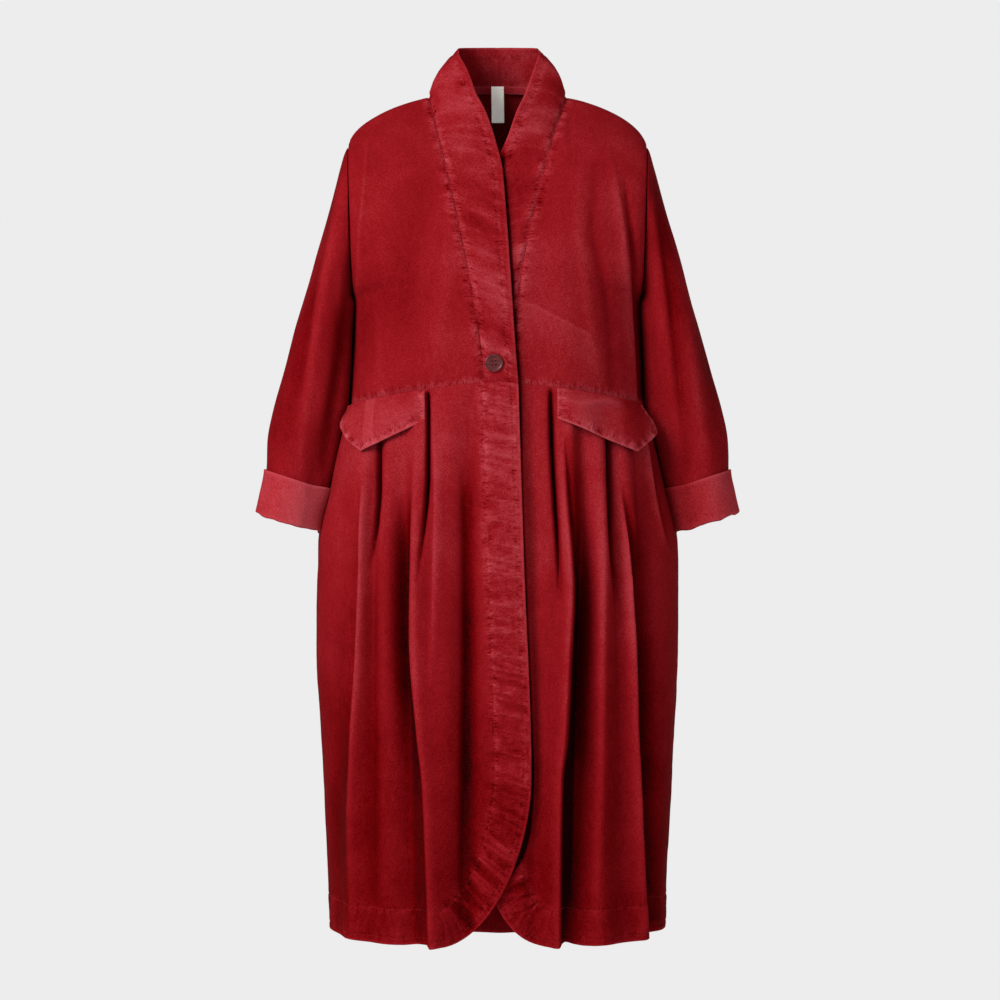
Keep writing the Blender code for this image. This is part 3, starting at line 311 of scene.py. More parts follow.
BACK_BODICE_CREASES = (
    Crease((-400, -300, -200, -120), (-150, -142, -136, -140), (2, 3, 3, 0), 12, 12),
    Crease((-396, -290, -180, -90), (-92, -84, -72, -60), (-1, -2.5, -2, 0), 18, 18),
    Crease((-398, -320, -250), (-30, -26, -22), (1.5, 2, 0), 14, 14),
    Crease((-400, -310, -200, -110), (60, 66, 78, 92), (-2, -2.5, -2, 0), 16, 18),
    Crease((-404, -300, -190, -110), (140, 134, 130, 138), (2, 3, 2.5, 0), 12, 10),
)
RIGHT_SLEEVE_CREASES = (
    Crease((-506, -411, -290, -195, -139, -91), (269, 256, 240, 224, 214, 206),
           (1, 2.5, 3, 3, 2, 0), 10, 7),
    Crease((-506, -452, -329, -221, -125), (290, 282, 260, 239, 220), (0, -2, -3, -2.5, 0), 8, 10),
    Crease((-493, -411, -329, -275), (232, 220, 207, 200.6), (-3, -4, -3, 0), 6, 8),
)
LEFT_SLEEVE_CREASES = (
    Crease((-493, -384, -275, -180, -85), (254, 243, 232, 221, 210), (-2, -4, -5, -4, 0), 5, 9),
    Crease((-499, -438, -329, -221, -125), (278, 273, 259, 243, 226), (0, 2, 3, 2.5, 0), 8, 10),
    Crease((-479, -384, -275, -166), (297, 289, 267, 237), (-1, -2.5, -2, 0), 10, 8),
)
BACK_SLEEVE_CREASES = (
    Crease((-500, -400, -300, -200, -110), (266, 252, 240, 226, 212), (1, 3, 3, 2, 0), 8, 10),
    Crease((-490, -390, -290, -180), (246, 233, 222, 212), (-2, -4, -4, 0), 8, 7),
    Crease((-470, -380, -280, -190), (292, 282, 262, 240), (-1, -3, -2, 0), 9, 9),
)

# ---- rows of cells along and across each piece ----
SKIRT_FRONT_CELLS = (318, 240)     # even numbers: the inner side has half as many
SKIRT_BACK_CELLS = (120, 170)
BODICE_FRONT_CELLS = (124, 98)
BODICE_BACK_CELLS = (88, 124)
SLEEVE_CELLS = (104, 104)
CUFF_ROWS = 27
BAND_CELLS = (400, 34)
FLAP_CELLS = (72, 40)

# ---- sewing ----
FACING_DEEP = 0.047         # facing and hem are stitched this far in from the edge
EDGE_STITCH_IN = 0.0085     # and again beside the edge
HEM_DEEP = 0.047
BAND_STITCH_IN = 0.011      # top stitching, in from the band's free edge
BAND_SEAM_STITCH = 0.0032   # and beside its seam
BAND_STANDS = 0.0008        # the band is three layers thick, so it stands up from the front
WAIST_STITCH_UP = 0.0042
FLAP_STITCH_IN = 0.0050
FLAP_SLANTS = (0.0, 0.016)  # how far the upper outer corner is set in: right, left
TAPE_STITCH_IN = 0.0016
SEAM_DIP = 0.0013           # cloth sinks into a seam
ARMHOLE_DIP = 0.0006
SEAM_DIP_WIDE = 0.0032
STITCH_SINK = 0.0008
STITCH_SINK_WIDE = 0.0018
NAP_CREASE_XS = (27.4, 48.7, 74.0, 109.0, 125.0, 134.0)         # a crease on the wearer's left
NAP_CREASE_ZS = (-284.0, -288.0, -301.0, -319.0, -329.0, -376.0)   # front, below it brushed nap
HEM_PAINTED_SHADE = 0.37            # painted shade: the skirt's tone darkens towards its hem, where less light falls
HEM_FOLLOWS = 0.8           # the hem rises in a hollow fold, by this share of its depth
SKIRT_NAP = 0.06            # lie of the nap on each piece, a share of the palest
BODICE_NAP = -0.03
BAND_NAP = -0.03
CUFF_PAINTED_LIGHT = (0.07, -0.26)   # painted light: the right cuff is drawn lit and the left one in shade; right, left
SLEEVE_PAINTED_SHADE = -0.10          # painted shade: the sleeves are drawn darker, as they turn away from the light
SLEEVE_CLEAR = 0.0030       # air between a sleeve's inner side and the coat
CUFF_COVERS = 0.052         # length of sleeve that lies under its cuff
CUFF_ROLL = 0.0018          # radius of the roll at the cuff's lower edge
FLAP_NAPS = (0.10, 0.12)    # right, left
UNDER_LAP_SHADE = 1.1       # painted shadow: the lower front is drawn darker where the upper one lies over it
FACING_PUCKER = 0.0013      # how far stitching draws the cloth into wrinkles, piece by piece
HEM_PUCKER = 0.0005
BAND_PUCKER = 0.0013
FLAP_PUCKER = 0.0009
BAND_THICKER = 1.15         # a band and a flap are more than one layer thick
FLAP_THICKER = 1.2
HEM_CROWDING = 1.25
UNDERARM_EVEN_WIDE = 0.035  # cloth within this reach of the underarm is drawn even
UNDERARM_EVEN_TIMES = 60
UNDERARM_EVEN_STEP = 0.6

# ---- small pieces ----
BUTTON_Z = -0.365
BUTTON_X = -0.0047
BUTTON_RADIUS = 0.0120
BUTTON_HOLE_RADIUS = 0.0011
BUTTON_HOLE_STEP = 0.0024   # hole centre from the button's centre, each way
BUTTON_SEAT = 0.0003        # air behind the button
LABEL_WIDTH = 0.0165
LABEL_DROP = 0.050
LABEL_THICK = 0.0008
LABEL_FRONT_Y = 0.0668      # the ribbon hangs just in front of the neck tape
TAPE_WIDTH = 0.0100
TAPE_THICK = 0.0009
TAPE_INSIDE = 0.0034        # off the middle of the back's cloth
TAPE_BELOW_SEAM = -0.0035   # it covers the seam
TAPE_REACH = 42.0           # degrees of the back neck, each way from the centre, under the tape


# ---- curves ----
def ease(low, high, value):
    """0 below low, 1 above high, and smooth between them."""
    share = np.clip((value - low) / (high - low), 0.0, 1.0)
    return share * share * (3.0 - 2.0 * share)


def through(places, values, at):
    """A smooth curve through the values at the places, with no overshoot between them."""
    places = np.asarray(places, float)
    values = np.asarray(values, float)
    at = np.clip(at, places[0], places[-1])
    rates = np.diff(values) / np.diff(places)
    before, after = rates[:-1], rates[1:]
    same_way = before * after > 0.0
    shared = 2.0 * before * after / np.where(same_way, before + after, 1.0)
    slopes = np.concatenate((rates[:1], np.where(same_way, shared, 0.0), rates[-1:]))
    left = np.clip(np.searchsorted(places, at, side="right") - 1, 0, len(places) - 2)
    span = places[left + 1] - places[left]
    share = (at - places[left]) / span
    rise = (1 + 2 * share) * (1 - share) ** 2 * values[left]
    fall = share * share * (3 - 2 * share) * values[left + 1]
    lean_in = share * (1 - share) ** 2 * span * slopes[left]
    lean_out = share * share * (share - 1) * span * slopes[left + 1]
    return rise + fall + lean_in + lean_out


def column(table, name):
    return [getattr(row, name) for row in table]


def unit(vectors):
    return vectors / np.maximum(np.linalg.norm(vectors, axis=-1, keepdims=True), 1e-12)


def bell(distance, width):
    return np.exp(-(distance / width) ** 2)


def waves(at, spacing, seed):
    """Uneven smooth waves between -1 and 1, one every spacing on average."""
    heights = np.random.default_rng(seed).uniform(-1.0, 1.0, 4096)
    place = np.asarray(at) / spacing + 1024.0
    low = np.floor(place).astype(int)
    share = ease(0.0, 1.0, place - low)
    return heights[low] * (1.0 - share) + heights[low + 1] * share


def swells(across, along, spacing, seed):
    """The same over a surface."""
    side = 256
    heights = np.random.default_rng(seed).uniform(-1.0, 1.0, (side, side))
    x, y = np.asarray(across) / spacing + side / 2, np.asarray(along) / spacing + side / 2
    col, row = np.floor(x).astype(int), np.floor(y).astype(int)
    right, down = ease(0.0, 1.0, x - col), ease(0.0, 1.0, y - row)
    col, row = col % (side - 1), row % (side - 1)
    top = heights[row, col] * (1 - right) + heights[row, col + 1] * right
    bottom = heights[row + 1, col] * (1 - right) + heights[row + 1, col + 1] * right
    return top * (1 - down) + bottom * down


def creased(creases, own_x, z):
    """How far a set of creases moves the cloth, at distances from the centre line and heights,
    and a second field for painted light on them: painted shade wider than a hollow, over its walls, and
    painted highlights narrower than a crest."""
    total, seen = np.zeros_like(z), np.zeros_like(z)
    for crease in creases:
        heights = np.array(crease.heights) * MM
        middle = through(heights, crease.xs, z) * MM
        ends = ease(heights[0] - 0.030, heights[0], z) * (1.0 - ease(heights[-1], heights[-1] + 0.012, z))
        depth = through(heights, crease.depths, z) * MM * ends
        away = own_x - middle
        width = np.where(away * np.where(middle < 0, -1.0, 1.0) > 0, crease.outer, crease.inner) * MM
        total += depth * bell(away, width)
        seen += depth * bell(away, width * (1.25 if min(crease.depths) < 0 else 0.75))
    return total, seen


def under_lap(x, z):
    """1 where the upper front covers the cloth and along its edge, 0 clear of it: where its painted shadow
    falls on the lower front.
    """
    edge = through(np.array(LAP_HEIGHTS) * MM, LAP_XS, z) * MM
    return (1.0 - ease(0.0015, 0.0062, x - edge)) * ease(LAP_HEIGHTS[0] * MM, (LAP_HEIGHTS[0] + 30) * MM, z)


# ---- the form ----
def quarter(half_width, depth, end_y, exponent, first_x=0.0, steps=240):
    """Points of a quarter ring from x = first_x at the front to the side, with arcs."""
    start = math.asin(min(1.0, (abs(first_x) / half_width) ** (exponent / 2.0)))
    angle = np.linspace(start, math.pi / 2.0, steps)
    x = half_width * np.sin(angle) ** (2.0 / exponent)
    y = end_y + (depth - end_y) * np.clip(np.cos(angle), 0.0, 1.0) ** (2.0 / exponent)
    arc = np.concatenate(([0.0], np.cumsum(np.hypot(np.diff(x), np.diff(y)))))
    return arc, x, y


def skirt_ring(down, face):
    places = column(SKIRT_RINGS, "down")
    half_width = through(places, column(SKIRT_RINGS, "half_width"), down)
    depth = through(places, column(SKIRT_RINGS, "front" if face < 0 else "back"), down)
    return quarter(half_width, face * depth, 0.0, ROUNDNESS)


def skirt_height(down, x, half_width, face):
    place = np.clip(np.abs(x) / half_width, 0.0, 1.0)
    waist = WAIST_Z if face < 0 else WAIST_BACK_Z
    hem = HEM_Z if face < 0 else HEM_BACK_Z
    top = waist + (WAIST_SIDE_Z - waist) * place ** WAIST_SWEEP
    bottom = hem + (HEM_SIDE_Z - hem) * place ** HEM_SWEEP
    return top + (bottom - top) * down


def fold_offset(folds, arc, down):
    drop = down * FOLD_DROPS[-1]
    total = np.zeros_like(arc)
    for fold in folds:
        middle = through(FOLD_DROPS, fold.arcs, drop)
        depth = through(FOLD_DROPS, fold.depths, drop)
        away = arc - middle
        outwards = away * (1.0 if middle >= 0 else -1.0) > 0
        total += depth * bell(away, np.where(outwards, fold.outer, fold.inner))
    return total * ease(0.0, WAIST_FADE, drop)


def layer_offset(side, own_x, z):
    """The upper front lifts and the lower front sinks where the two cross."""
    shallow = ease(-0.015, -0.070, z)
    if side == RIGHT:
        return shallow * OVER_LIFT * (1.0 - ease(0.02, 0.08, own_x))
    return -shallow * UNDER_SINK * (1.0 - ease(0.045, 0.10, own_x))


def skirt_row(side, face, folds, arcs, down, moved_out=0.0):
    """Points and outward directions at signed arcs from the centre line, on one level."""
    length, ring_x, ring_y = skirt_ring(down, face)
    reach = np.abs(arcs)
    x = np.interp(reach, length, ring_x)
    y = np.interp(reach, length, ring_y)
    z = skirt_height(down, x, ring_x[-1], face)
    slope_x = np.interp(reach, length, np.gradient(ring_x, length))
    slope_y = np.interp(reach, length, np.gradient(ring_y, length))
    sign = np.where(arcs < 0, -1.0, 1.0)
    out = fold_offset(folds, arcs, down) * ease(0.0, SEAM_FADE, length[-1] - reach)
    if face < 0:
        out = out + layer_offset(side, sign * x, z)
    out = out + moved_out
    normal = np.stack((side * sign * -face * slope_y, face * slope_x, np.zeros_like(x)), axis=-1)
    return np.stack((side * sign * x, y, z), axis=-1) + normal * np.asarray(out)[..., None], normal


def rounded(down, start, cut, power):
    into_corner = np.clip((down - start) / (1.0 - start), 0.0, 1.0)
    return cut * (1.0 - (1.0 - into_corner ** power) ** (1.0 / power))


def front_arcs(side, down, shares):
    """Arcs of a row's points; the rounded corner's cut is taken up by the columns beside it."""
    if side == RIGHT:
        straight = through((0.0, 0.30, 0.70, 1.0), (-0.0272, -0.0340, -0.0443, -0.0443), down)
        cut = rounded(down, *OVER_CORNER)
    else:
        straight = through((0.0, 0.5, 1.0), (-0.0272, -0.0230, -0.0170), down)
        cut = rounded(down, *UNDER_CORNER)
    side_arc = skirt_ring(down, -1)[0][-1]
    return straight + (side_arc - straight) * shares + cut * (1.0 - shares) ** CUT_FADE


def armhole(angle, face):
    """A point of the armhole: angle 0 at its top, pi at the underarm."""
    top, bottom = np.array(TIP), np.array(UNDERARM)
    power = 2.0 / SLEEVE_ROUNDNESS
    along = math.copysign(abs(math.cos(angle)) ** power, math.cos(angle))
    point = (top + bottom) / 2 + (top - bottom) / 2 * along
    point[1] += face * ARMHOLE_HALF * max(0.0, math.sin(angle)) ** power
    return point


def bodice_outer(up, face):
    """The end of a bodice row: on the side seam, then round the armhole."""
    if up <= UNDERARM_UP:
        share = up / UNDERARM_UP
        z = WAIST_SIDE_Z + (UNDERARM[2] - WAIST_SIDE_Z) * share
        x = through(column(SIDE_LEVELS, "z"), column(SIDE_LEVELS, "size"), z)
        return np.array((float(x), UNDERARM[1] * share, z))
    return armhole(math.pi * (1.0 - up) / (1.0 - UNDERARM_UP), face)


def seam_x(side, up):
    power = 1.30 if side == RIGHT else 1.65
    return BAND_WAIST_HALF + (NECK_HALF - BAND_WAIST_HALF) * up ** power


def shoulder_fall(share, up):
    squareness = 1.0 - SHOULDER_SQUARENESS * up ** 6
    sweep = WAIST_SWEEP - SHOULDER_SWEEP_LOSS * up ** 6
    return 1.0 - (1.0 - np.clip(share, 0.0, 1.0) ** sweep) ** squareness


def bodice_front_row(side, up, shares=None, xs=None):
    """Points of one row, by shares from band seam to outer edge or by own x."""
    z_centre = WAIST_Z * (1.0 - up)
    depth = float(through(column(FRONT_LEVELS, "z"), column(FRONT_LEVELS, "size"), z_centre))
    end = bodice_outer(up, -1)
    start_x = seam_x(side, up)
    if xs is None:
        arc, ring_x, ring_y = quarter(end[0], -depth, end[1], ROUNDNESS, first_x=start_x)
        x = np.interp(shares * arc[-1], arc, ring_x)
        y = np.interp(shares * arc[-1], arc, ring_y)
    else:
        _, ring_x, ring_y = quarter(end[0], -depth, end[1], ROUNDNESS)
        x = xs
        y = np.interp(np.abs(xs), ring_x, ring_y)
    skip = start_x * ease(0.0, 0.30, up)
    share = (np.abs(x) - skip) / (end[0] - skip)
    z = z_centre + (end[2] - z_centre) * shoulder_fall(share, up)
    y = y - layer_offset(side, x, z)
    return np.stack((side * x, y, z), axis=-1)


def neckline(along):
    angle = (along - 1.0) * math.pi / 2.0
    outwards, backwards = math.cos(angle), math.sin(angle)
    return np.array((NECK_HALF * outwards, NECK_BACK_Y * backwards, NECK_BACK_Z * backwards))


def shoulder_top(share):
    """A point of the back's upper edge: the neck seam, then the shoulder seam."""
    reach = abs(share)
    if reach <= 0.5:
        point = neckline(2.0 - reach / 0.5)
        point[1] = max(point[1], SEAM_GAP)
    else:
        point = bodice_front_row(1, 1.0, shares=np.array([(reach - 0.5) / 0.5]))[0]
        point[1] += SEAM_GAP
    point[0] = math.copysign(abs(point[0]), share)
    return point


def bodice_back_form(ups, shares):
    top = np.array([shoulder_top(share) for share in shares])
    rows = []
    for up in ups:
        z_centre = WAIST_BACK_Z + (NECK_BACK_Z - WAIST_BACK_Z) * up
        depth = float(through(column(BACK_LEVELS, "z"), column(BACK_LEVELS, "size"), z_centre))
        end = bodice_outer(up, 1)
        arc, ring_x, ring_y = quarter(end[0], depth, end[1], ROUNDNESS)
        x = np.interp(np.abs(shares) * arc[-1], arc, ring_x)
        y = np.interp(np.abs(shares) * arc[-1], arc, ring_y)
        z = z_centre + (end[2] - z_centre) * shoulder_fall(x / end[0], up)
        row = np.stack((np.sign(shares) * x, y, z), axis=-1)
        on_armhole = (np.array(TIP) - end) * (np.abs(shares) ** ARMHOLE_HOLDS)[:, None]
        on_armhole[:, 0] *= np.sign(shares)
        rows.append(row + ease(BACK_TURNS_TO_NECK, 1.0, up) * (top - row - on_armhole))
    return np.array(rows)


def band_seam(side, along):
    if along <= 1.0:
        return bodice_front_row(side, along, shares=np.array([0.0]))[0]
    return neckline(along) * np.array((side, 1.0, 1.0))


def seam_normal(side, along):
    """The direction that both pieces face along the band seam."""
    places = (0.0, 0.6, 1.0, 1.5, 2.0)
    x = through(places, (0.0, 0.12, 0.45, 0.45, 0.0), along)
    y = through(places, (-1.0, -0.95, 0.0, 0.60, 0.90), along)
    z = through(places, (0.0, 0.25, 0.85, 0.75, 0.40), along)
    return unit(np.array((side * float(x), float(y), float(z))))


def band_edge(side, table, along):
    points = []
    for row in table:
        y = row.y
        if y is None:
            y = bodice_front_row(side, 1.0 - row.z / WAIST_Z, xs=np.array([-row.beyond]))[0][1]
        points.append((-row.beyond, y, row.z))
    places = column(table, "along")
    return np.array([float(through(places, values, along)) for values in zip(*points)])


def band_row(side, along, shares):
    """Points across the band from its seam to its free edge."""
    start = band_seam(side, along)
    edge = band_edge(side, OVER_BAND if side == RIGHT else UNDER_BAND, along)
    end = edge * np.array((side, 1.0, 1.0))
    if along == 2.0:
        start[0] = end[0] = side * SEAM_GAP / 2
    start = start + (end - start) * SEAM_GAP / np.linalg.norm(end - start)
    straight = start + (end - start) * shares[:, None]
    beside_neck = ease(0.75, 1.0, along) * (1.0 - ease(1.2, 1.8, along))
    bow = seam_normal(side, along) * np.array((1.0, 0.0, 0.4)) * BAND_BULGE * 2.0 * beside_neck
    straight = straight + bow * np.sin(shares * math.pi)[:, None]
    if along >= BAND_LEAVES_FRONT[1]:
        return straight
    on_front = []
    for share in shares:
        up = along + (1.0 - edge[2] / WAIST_Z - along) * share
        own_x = side * start[0] + (edge[0] - side * start[0]) * share
        on_front.append(bodice_front_row(side, up, xs=np.array([own_x]))[0])
    return straight + (np.array(on_front) - straight) * (1.0 - ease(*BAND_LEAVES_FRONT, along))


def body_side(y, z):
    """How far the bodice or the skirt reaches from the centre line at a depth and height."""
    down = np.clip((WAIST_SIDE_Z - z) / (WAIST_SIDE_Z - HEM_SIDE_Z), 0.0, 1.0)
    places = column(SKIRT_RINGS, "down")
    in_skirt, front, back = (through(places, column(SKIRT_RINGS, name), down)
                             for name in ("half_width", "front", "back"))
    in_bodice = through(column(SIDE_LEVELS, "z"), column(SIDE_LEVELS, "size"), z)
    half_width = np.where(z < WAIST_SIDE_Z, in_skirt, in_bodice)
    depth = np.where(y < 0.0, front, back)
    return half_width * (1.0 - (np.abs(y) / depth) ** ROUNDNESS) ** (1.0 / ROUNDNESS)


def beside_body(ring):
    """The sleeve's inner side lies against the coat below the armhole."""
    x, y, z = ring[:, 0], ring[:, 1], ring[:, 2]
    inner = ease(0.0, 0.75, (x.max() + x.min() - 2.0 * x) / (x.max() - x.min()))
    inner *= (1.0 - ease(0.036, 0.062, np.abs(y - SLEEVE_CENTRE_Y))) * ease(-0.266, -0.284, z)
    return x + inner * np.minimum(body_side(y, z) + SLEEVE_CLEAR - x, 0.0)


def sleeve_form(side, places, count):
    """Rings of the sleeve at places counted in rows of its table."""
    index = np.arange(len(SLEEVE_RINGS))
    angle = np.linspace(0.0, 2.0 * math.pi, count, endpoint=False)
    power = 2.0 / SLEEVE_ROUNDNESS
    along = np.sign(np.cos(angle)) * np.abs(np.cos(angle)) ** power
    across = np.sign(np.sin(angle)) * np.abs(np.sin(angle)) ** power
    rings = []
    for place in places:
        outer_x, outer_z, inner_x, inner_z, half_depth = (
            float(through(index, column(SLEEVE_RINGS, name), place)) for name in SleeveRing._fields
        )
        centre = np.array(((outer_x + inner_x) / 2, SLEEVE_CENTRE_Y, (outer_z + inner_z) / 2))
        arm = np.array(((outer_x - inner_x) / 2, 0.0, (outer_z - inner_z) / 2))
        ring = centre + arm * along[:, None]
        ring[:, 1] -= half_depth * across
        ring[:, 0] = beside_body(ring)
        ring[:, 0] *= side
        rings.append(ring)
    return np.array(rings)


# ---- cloth: a grid of middle points turned into a thin shell ----
def grid_normals(grid, closed, towards):
    """Directions square to the cloth, all turned the way that towards points."""
    along = np.gradient(grid, axis=0)
    if closed:
        across = np.roll(grid, -1, axis=1) - np.roll(grid, 1, axis=1)
    else:
        across = np.gradient(grid, axis=1)
    normals = unit(np.cross(across, along))
    return normals if float((normals * towards).sum()) > 0.0 else -normals


def from_axis(grid, x=0.0, y=0.0):
    away = grid - np.array((x, y, 0.0))
    away[..., 2] = 0.0
    return away


def run(grid, axis):
    """Lengths along the grid's lines, from their first points."""
    steps = np.linalg.norm(np.diff(grid, axis=axis), axis=-1)
    zero = np.zeros_like(np.take(steps, [0], axis=axis))
    return np.concatenate((zero, np.cumsum(steps, axis=axis)), axis=axis)


def edge_distances(grid):
    """Distances from the first and last column and the first and last row."""
    across, along = run(grid, 1), run(grid, 0)
    return across, across[:, -1:] - across, along, along[-1:] - along


def seam_groove(*distances, dip=SEAM_DIP):
    return -dip * np.maximum.reduce([bell(distance, SEAM_DIP_WIDE) for distance in distances])


def stitch_groove(*distances):
    return -STITCH_SINK * np.maximum.reduce([bell(distance, STITCH_SINK_WIDE) for distance in distances])


def painted_fold_light(fold, size):
    """Painted light on folds: ridges are drawn pale as a painted highlight, hollows dark as painted shade.
    """
    share = fold / size
    return np.where(share > 0.0, 0.28 * np.minimum(share, 1.5), 0.33 * np.maximum(share, -2.5))


def rim_loop(rows, columns):
    """Indices of the grid's border in order, and of the point inside each."""
    top = [((0, c), (1, min(max(c, 1), columns - 2))) for c in range(columns)]
    last = [((r, columns - 1), (r, columns - 2)) for r in range(1, rows - 1)]
    bottom = [((rows - 1, c), (rows - 2, min(max(c, 1), columns - 2))) for c in reversed(range(columns))]
    first = [((r, 0), (r, 1)) for r in reversed(range(1, rows - 1))]
    return top + last + bottom + first


def cells(index):
    return np.stack((index[:-1, :-1], index[1:, :-1], index[1:, 1:], index[:-1, 1:]),
                    axis=-1).reshape(-1, 4)


def shell(name, grid, normals, thickness, nap, material, closed=False, free="", sewn=None):
    """A closed shell half its thickness on each side of the grid, with half as many cells each
    way on its inner side. free names the edges that are rounded because nothing is sewn to
    them: top, bottom, first, last. sewn holds, for each point, its place along a row of
    stitches, its distance from the cloth's edge and how much the stitches gather it."""
    rows, columns = grid.shape[:2]
    layer = rows * columns
    index = np.arange(layer).reshape(rows, columns)
    coarse = index[::2, ::2]
    inner_index = layer + np.arange(coarse.size).reshape(coarse.shape)
    if closed:
        loops = [[((0, c), (1, c)) for c in range(columns)],
                 [((rows - 1, -c % columns), (rows - 2, -c % columns)) for c in range(columns)]]
        wrapped, inner_wrapped = (np.concatenate((i, i[:, :1]), axis=1) for i in (index, inner_index))
    else:
        loops = [rim_loop(rows, columns)]
        wrapped, inner_wrapped = index, inner_index
    quads = cells(wrapped)
    faces = quads.tolist() + cells(inner_wrapped)[:, ::-1].tolist()
    flat_grid, flat_normals = grid.reshape(-1, 3), normals.reshape(-1, 3)
    outer = flat_grid + flat_normals * thickness / 2
    points = [outer, (flat_grid - flat_normals * thickness / 2)[coarse.reshape(-1)]]
    source = [index.reshape(-1), coarse.reshape(-1)]
    count = layer + coarse.size
    for loop in loops:
        edge = np.array([at for at, _ in loop])
        inside = np.array([beside for _, beside in loop])
        where = edge[:, 0] * columns + edge[:, 1]
        outwards = unit(grid[edge[:, 0], edge[:, 1]] - grid[inside[:, 0], inside[:, 1]])
        round_here = np.zeros(len(loop))
        for word, on_edge in (("top", edge[:, 0] == 0), ("bottom", edge[:, 0] == rows - 1),
                              ("first", edge[:, 1] == 0), ("last", edge[:, 1] == columns - 1)):
            if word in free.split() and (not closed or word in ("top", "bottom")):
                round_here = np.where(on_edge, 1.0, round_here)
        points.append(flat_grid[where] + outwards * (round_here * thickness * 0.45)[:, None])
        source.append(where)
        middle = count + np.arange(len(loop))
        faces += np.stack((where, np.roll(where, -1), np.roll(middle, -1), middle), axis=-1).tolist()
        below = inner_index[edge[::2, 0] // 2, edge[::2, 1] // 2]
        faces += np.stack((middle[::2], middle[1::2], np.roll(middle, -2)[::2], np.roll(below, -1), below),
                          axis=-1).tolist()
        count += len(loop)
    first, second, third = (outer[quads[:, corner]] for corner in range(3))
    if float((np.cross(second - first, third - first) * flat_normals[quads[:, 0]]).sum()) < 0.0:
        faces = [face[::-1] for face in faces]
    points, source = np.concatenate(points), np.concatenate(source)
    across, along = run(grid, 1).reshape(-1)[source], run(grid, 0).reshape(-1)[source]
    made = mesh_object(name, points, faces, material, uv=np.stack((across, -along), axis=-1),
                       nap=nap.reshape(-1)[source])
    if sewn is not None:
        held = np.stack(sewn, axis=-1).reshape(-1, 3)[source].astype(np.float32)
        made.data.attributes.new("sewn", "FLOAT_VECTOR", "POINT").data.foreach_set("vector", held.ravel())
    return made


def mesh_object(name, points, faces, material, uv=None, nap=None):
    """A smooth-shaded mesh object, with its flat place if given, and its tone field if given: the nap's own
    tone and wear, with painted shade and painted highlights.
    """
    mesh = bpy.data.meshes.new(name)
    mesh.from_pydata(points.tolist(), [], faces)
    mesh.materials.append(material)
    if uv is not None:
        corners = np.zeros(len(mesh.loops), np.int32)
        mesh.loops.foreach_get("vertex_index", corners)
        mesh.uv_layers.new(name="cloth").data.foreach_set("uv", uv[corners].astype(np.float32).ravel())
    if nap is not None:
        mesh.attributes.new("nap", "FLOAT", "POINT").data.foreach_set("value", nap.astype(np.float32))
    mesh.shade_smooth()
    mesh.set_sharp_from_angle(angle=math.radians(75.0))
    made = bpy.data.objects.new(name, mesh)
    bpy.context.scene.collection.objects.link(made)
    return made


def finished(made, slot, *nodes):
    """Rides on the one body, takes the place of the nodes; slot is not used."""
    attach(made, "root")
    if nodes:
        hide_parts(*nodes)
    return made


def on_grid(points, row, col):
    """A point between grid points, by row and column numbers with fractions."""
    row = float(np.clip(row, 0, points.shape[0] - 1.001))
    col = float(np.clip(col, 0, points.shape[1] - 1.001))
    r, c = int(row), int(col)
    down, right = row - r, col - c
    top = points[r, c] * (1 - right) + points[r, c + 1] * right
    bottom = points[r + 1, c] * (1 - right) + points[r + 1, c + 1] * right
    return top * (1 - down) + bottom * down


def line_across(points, distances, at, first=0, last=None):
    """A path down the rows, where the distance from a column edge is at."""
    path = []
    for row in range(first, points.shape[0] if last is None else last):
        order = np.argsort(distances[row])
        col = np.interp(at, distances[row][order], np.arange(points.shape[1])[order])
        path.append(on_grid(points, row, col))
    return np.array(path)


def line_along(points, distances, at, first=0, last=None):
    """A path across the columns, where the distance from a row edge is at."""
    path = []
    for col in range(first, points.shape[1] if last is None else last):
        order = np.argsort(distances[:, col])
        row = np.interp(at, distances[:, col][order], np.arange(points.shape[0])[order])
        path.append(on_grid(points, row, col))
    return np.array(path)


# ---- paths for the stitches, by the piece that they are sewn through ----
STITCH_PATHS = {}


def sew(piece, *paths):
    STITCH_PATHS.setdefault(piece, []).extend(paths)


# ---- cloth pieces ----
def side_word(side):
    return "right" if side == RIGHT else "left"


def nearest(points, line):
    """Distance from each flat point to a line, and how far along the line that is."""
    along = np.concatenate(([0.0], np.cumsum(np.linalg.norm(np.diff(line, axis=0), axis=1))))
    flat = points.reshape(-1, 2)
    best = np.full(len(flat), 1e9)
    place = np.zeros(len(flat))
    for (start, end, before) in zip(line[:-1], line[1:], along[:-1]):
        step = end - start
        length = max(float(np.linalg.norm(step)), 1e-9)
        share = np.clip((flat - start) @ step / length ** 2, 0.0, 1.0)
        away = np.linalg.norm(flat - start - share[:, None] * step, axis=1)
        closer = away < best
        best = np.where(closer, away, best)
        place = np.where(closer, before + share * length, place)
    return best.reshape(points.shape[:2]), place.reshape(points.shape[:2])


def puckers(inwards, along, deep, strength, seed):
    """Short crosswise wrinkles between an edge and the row of stitches that lies deep inside."""
    lean = along + 0.45 * inwards * waves(along, 0.060, seed + 5)
    broken = swells(along, inwards, 0.0085, seed + 2)
    small = (waves(lean, 0.0046, seed) * 0.60
             + waves(lean + 0.3 * inwards, 0.0074, seed + 1) * 0.45 + broken * 0.5)
    from_stitch = np.abs(inwards - deep)
    belly = ease(0.0, 0.004, inwards) * (1.0 - ease(deep - 0.002, deep + 0.002, inwards))
    pinched = bell(from_stitch, 0.0075)
    crests = (1.0 - np.abs(waves(along + 0.25 * inwards + broken * 0.0012, 0.0098, seed + 3))) ** 4 - 0.2
    return strength * (small * (0.55 * belly + 0.75 * pinched) + 1.1 * crests * belly)


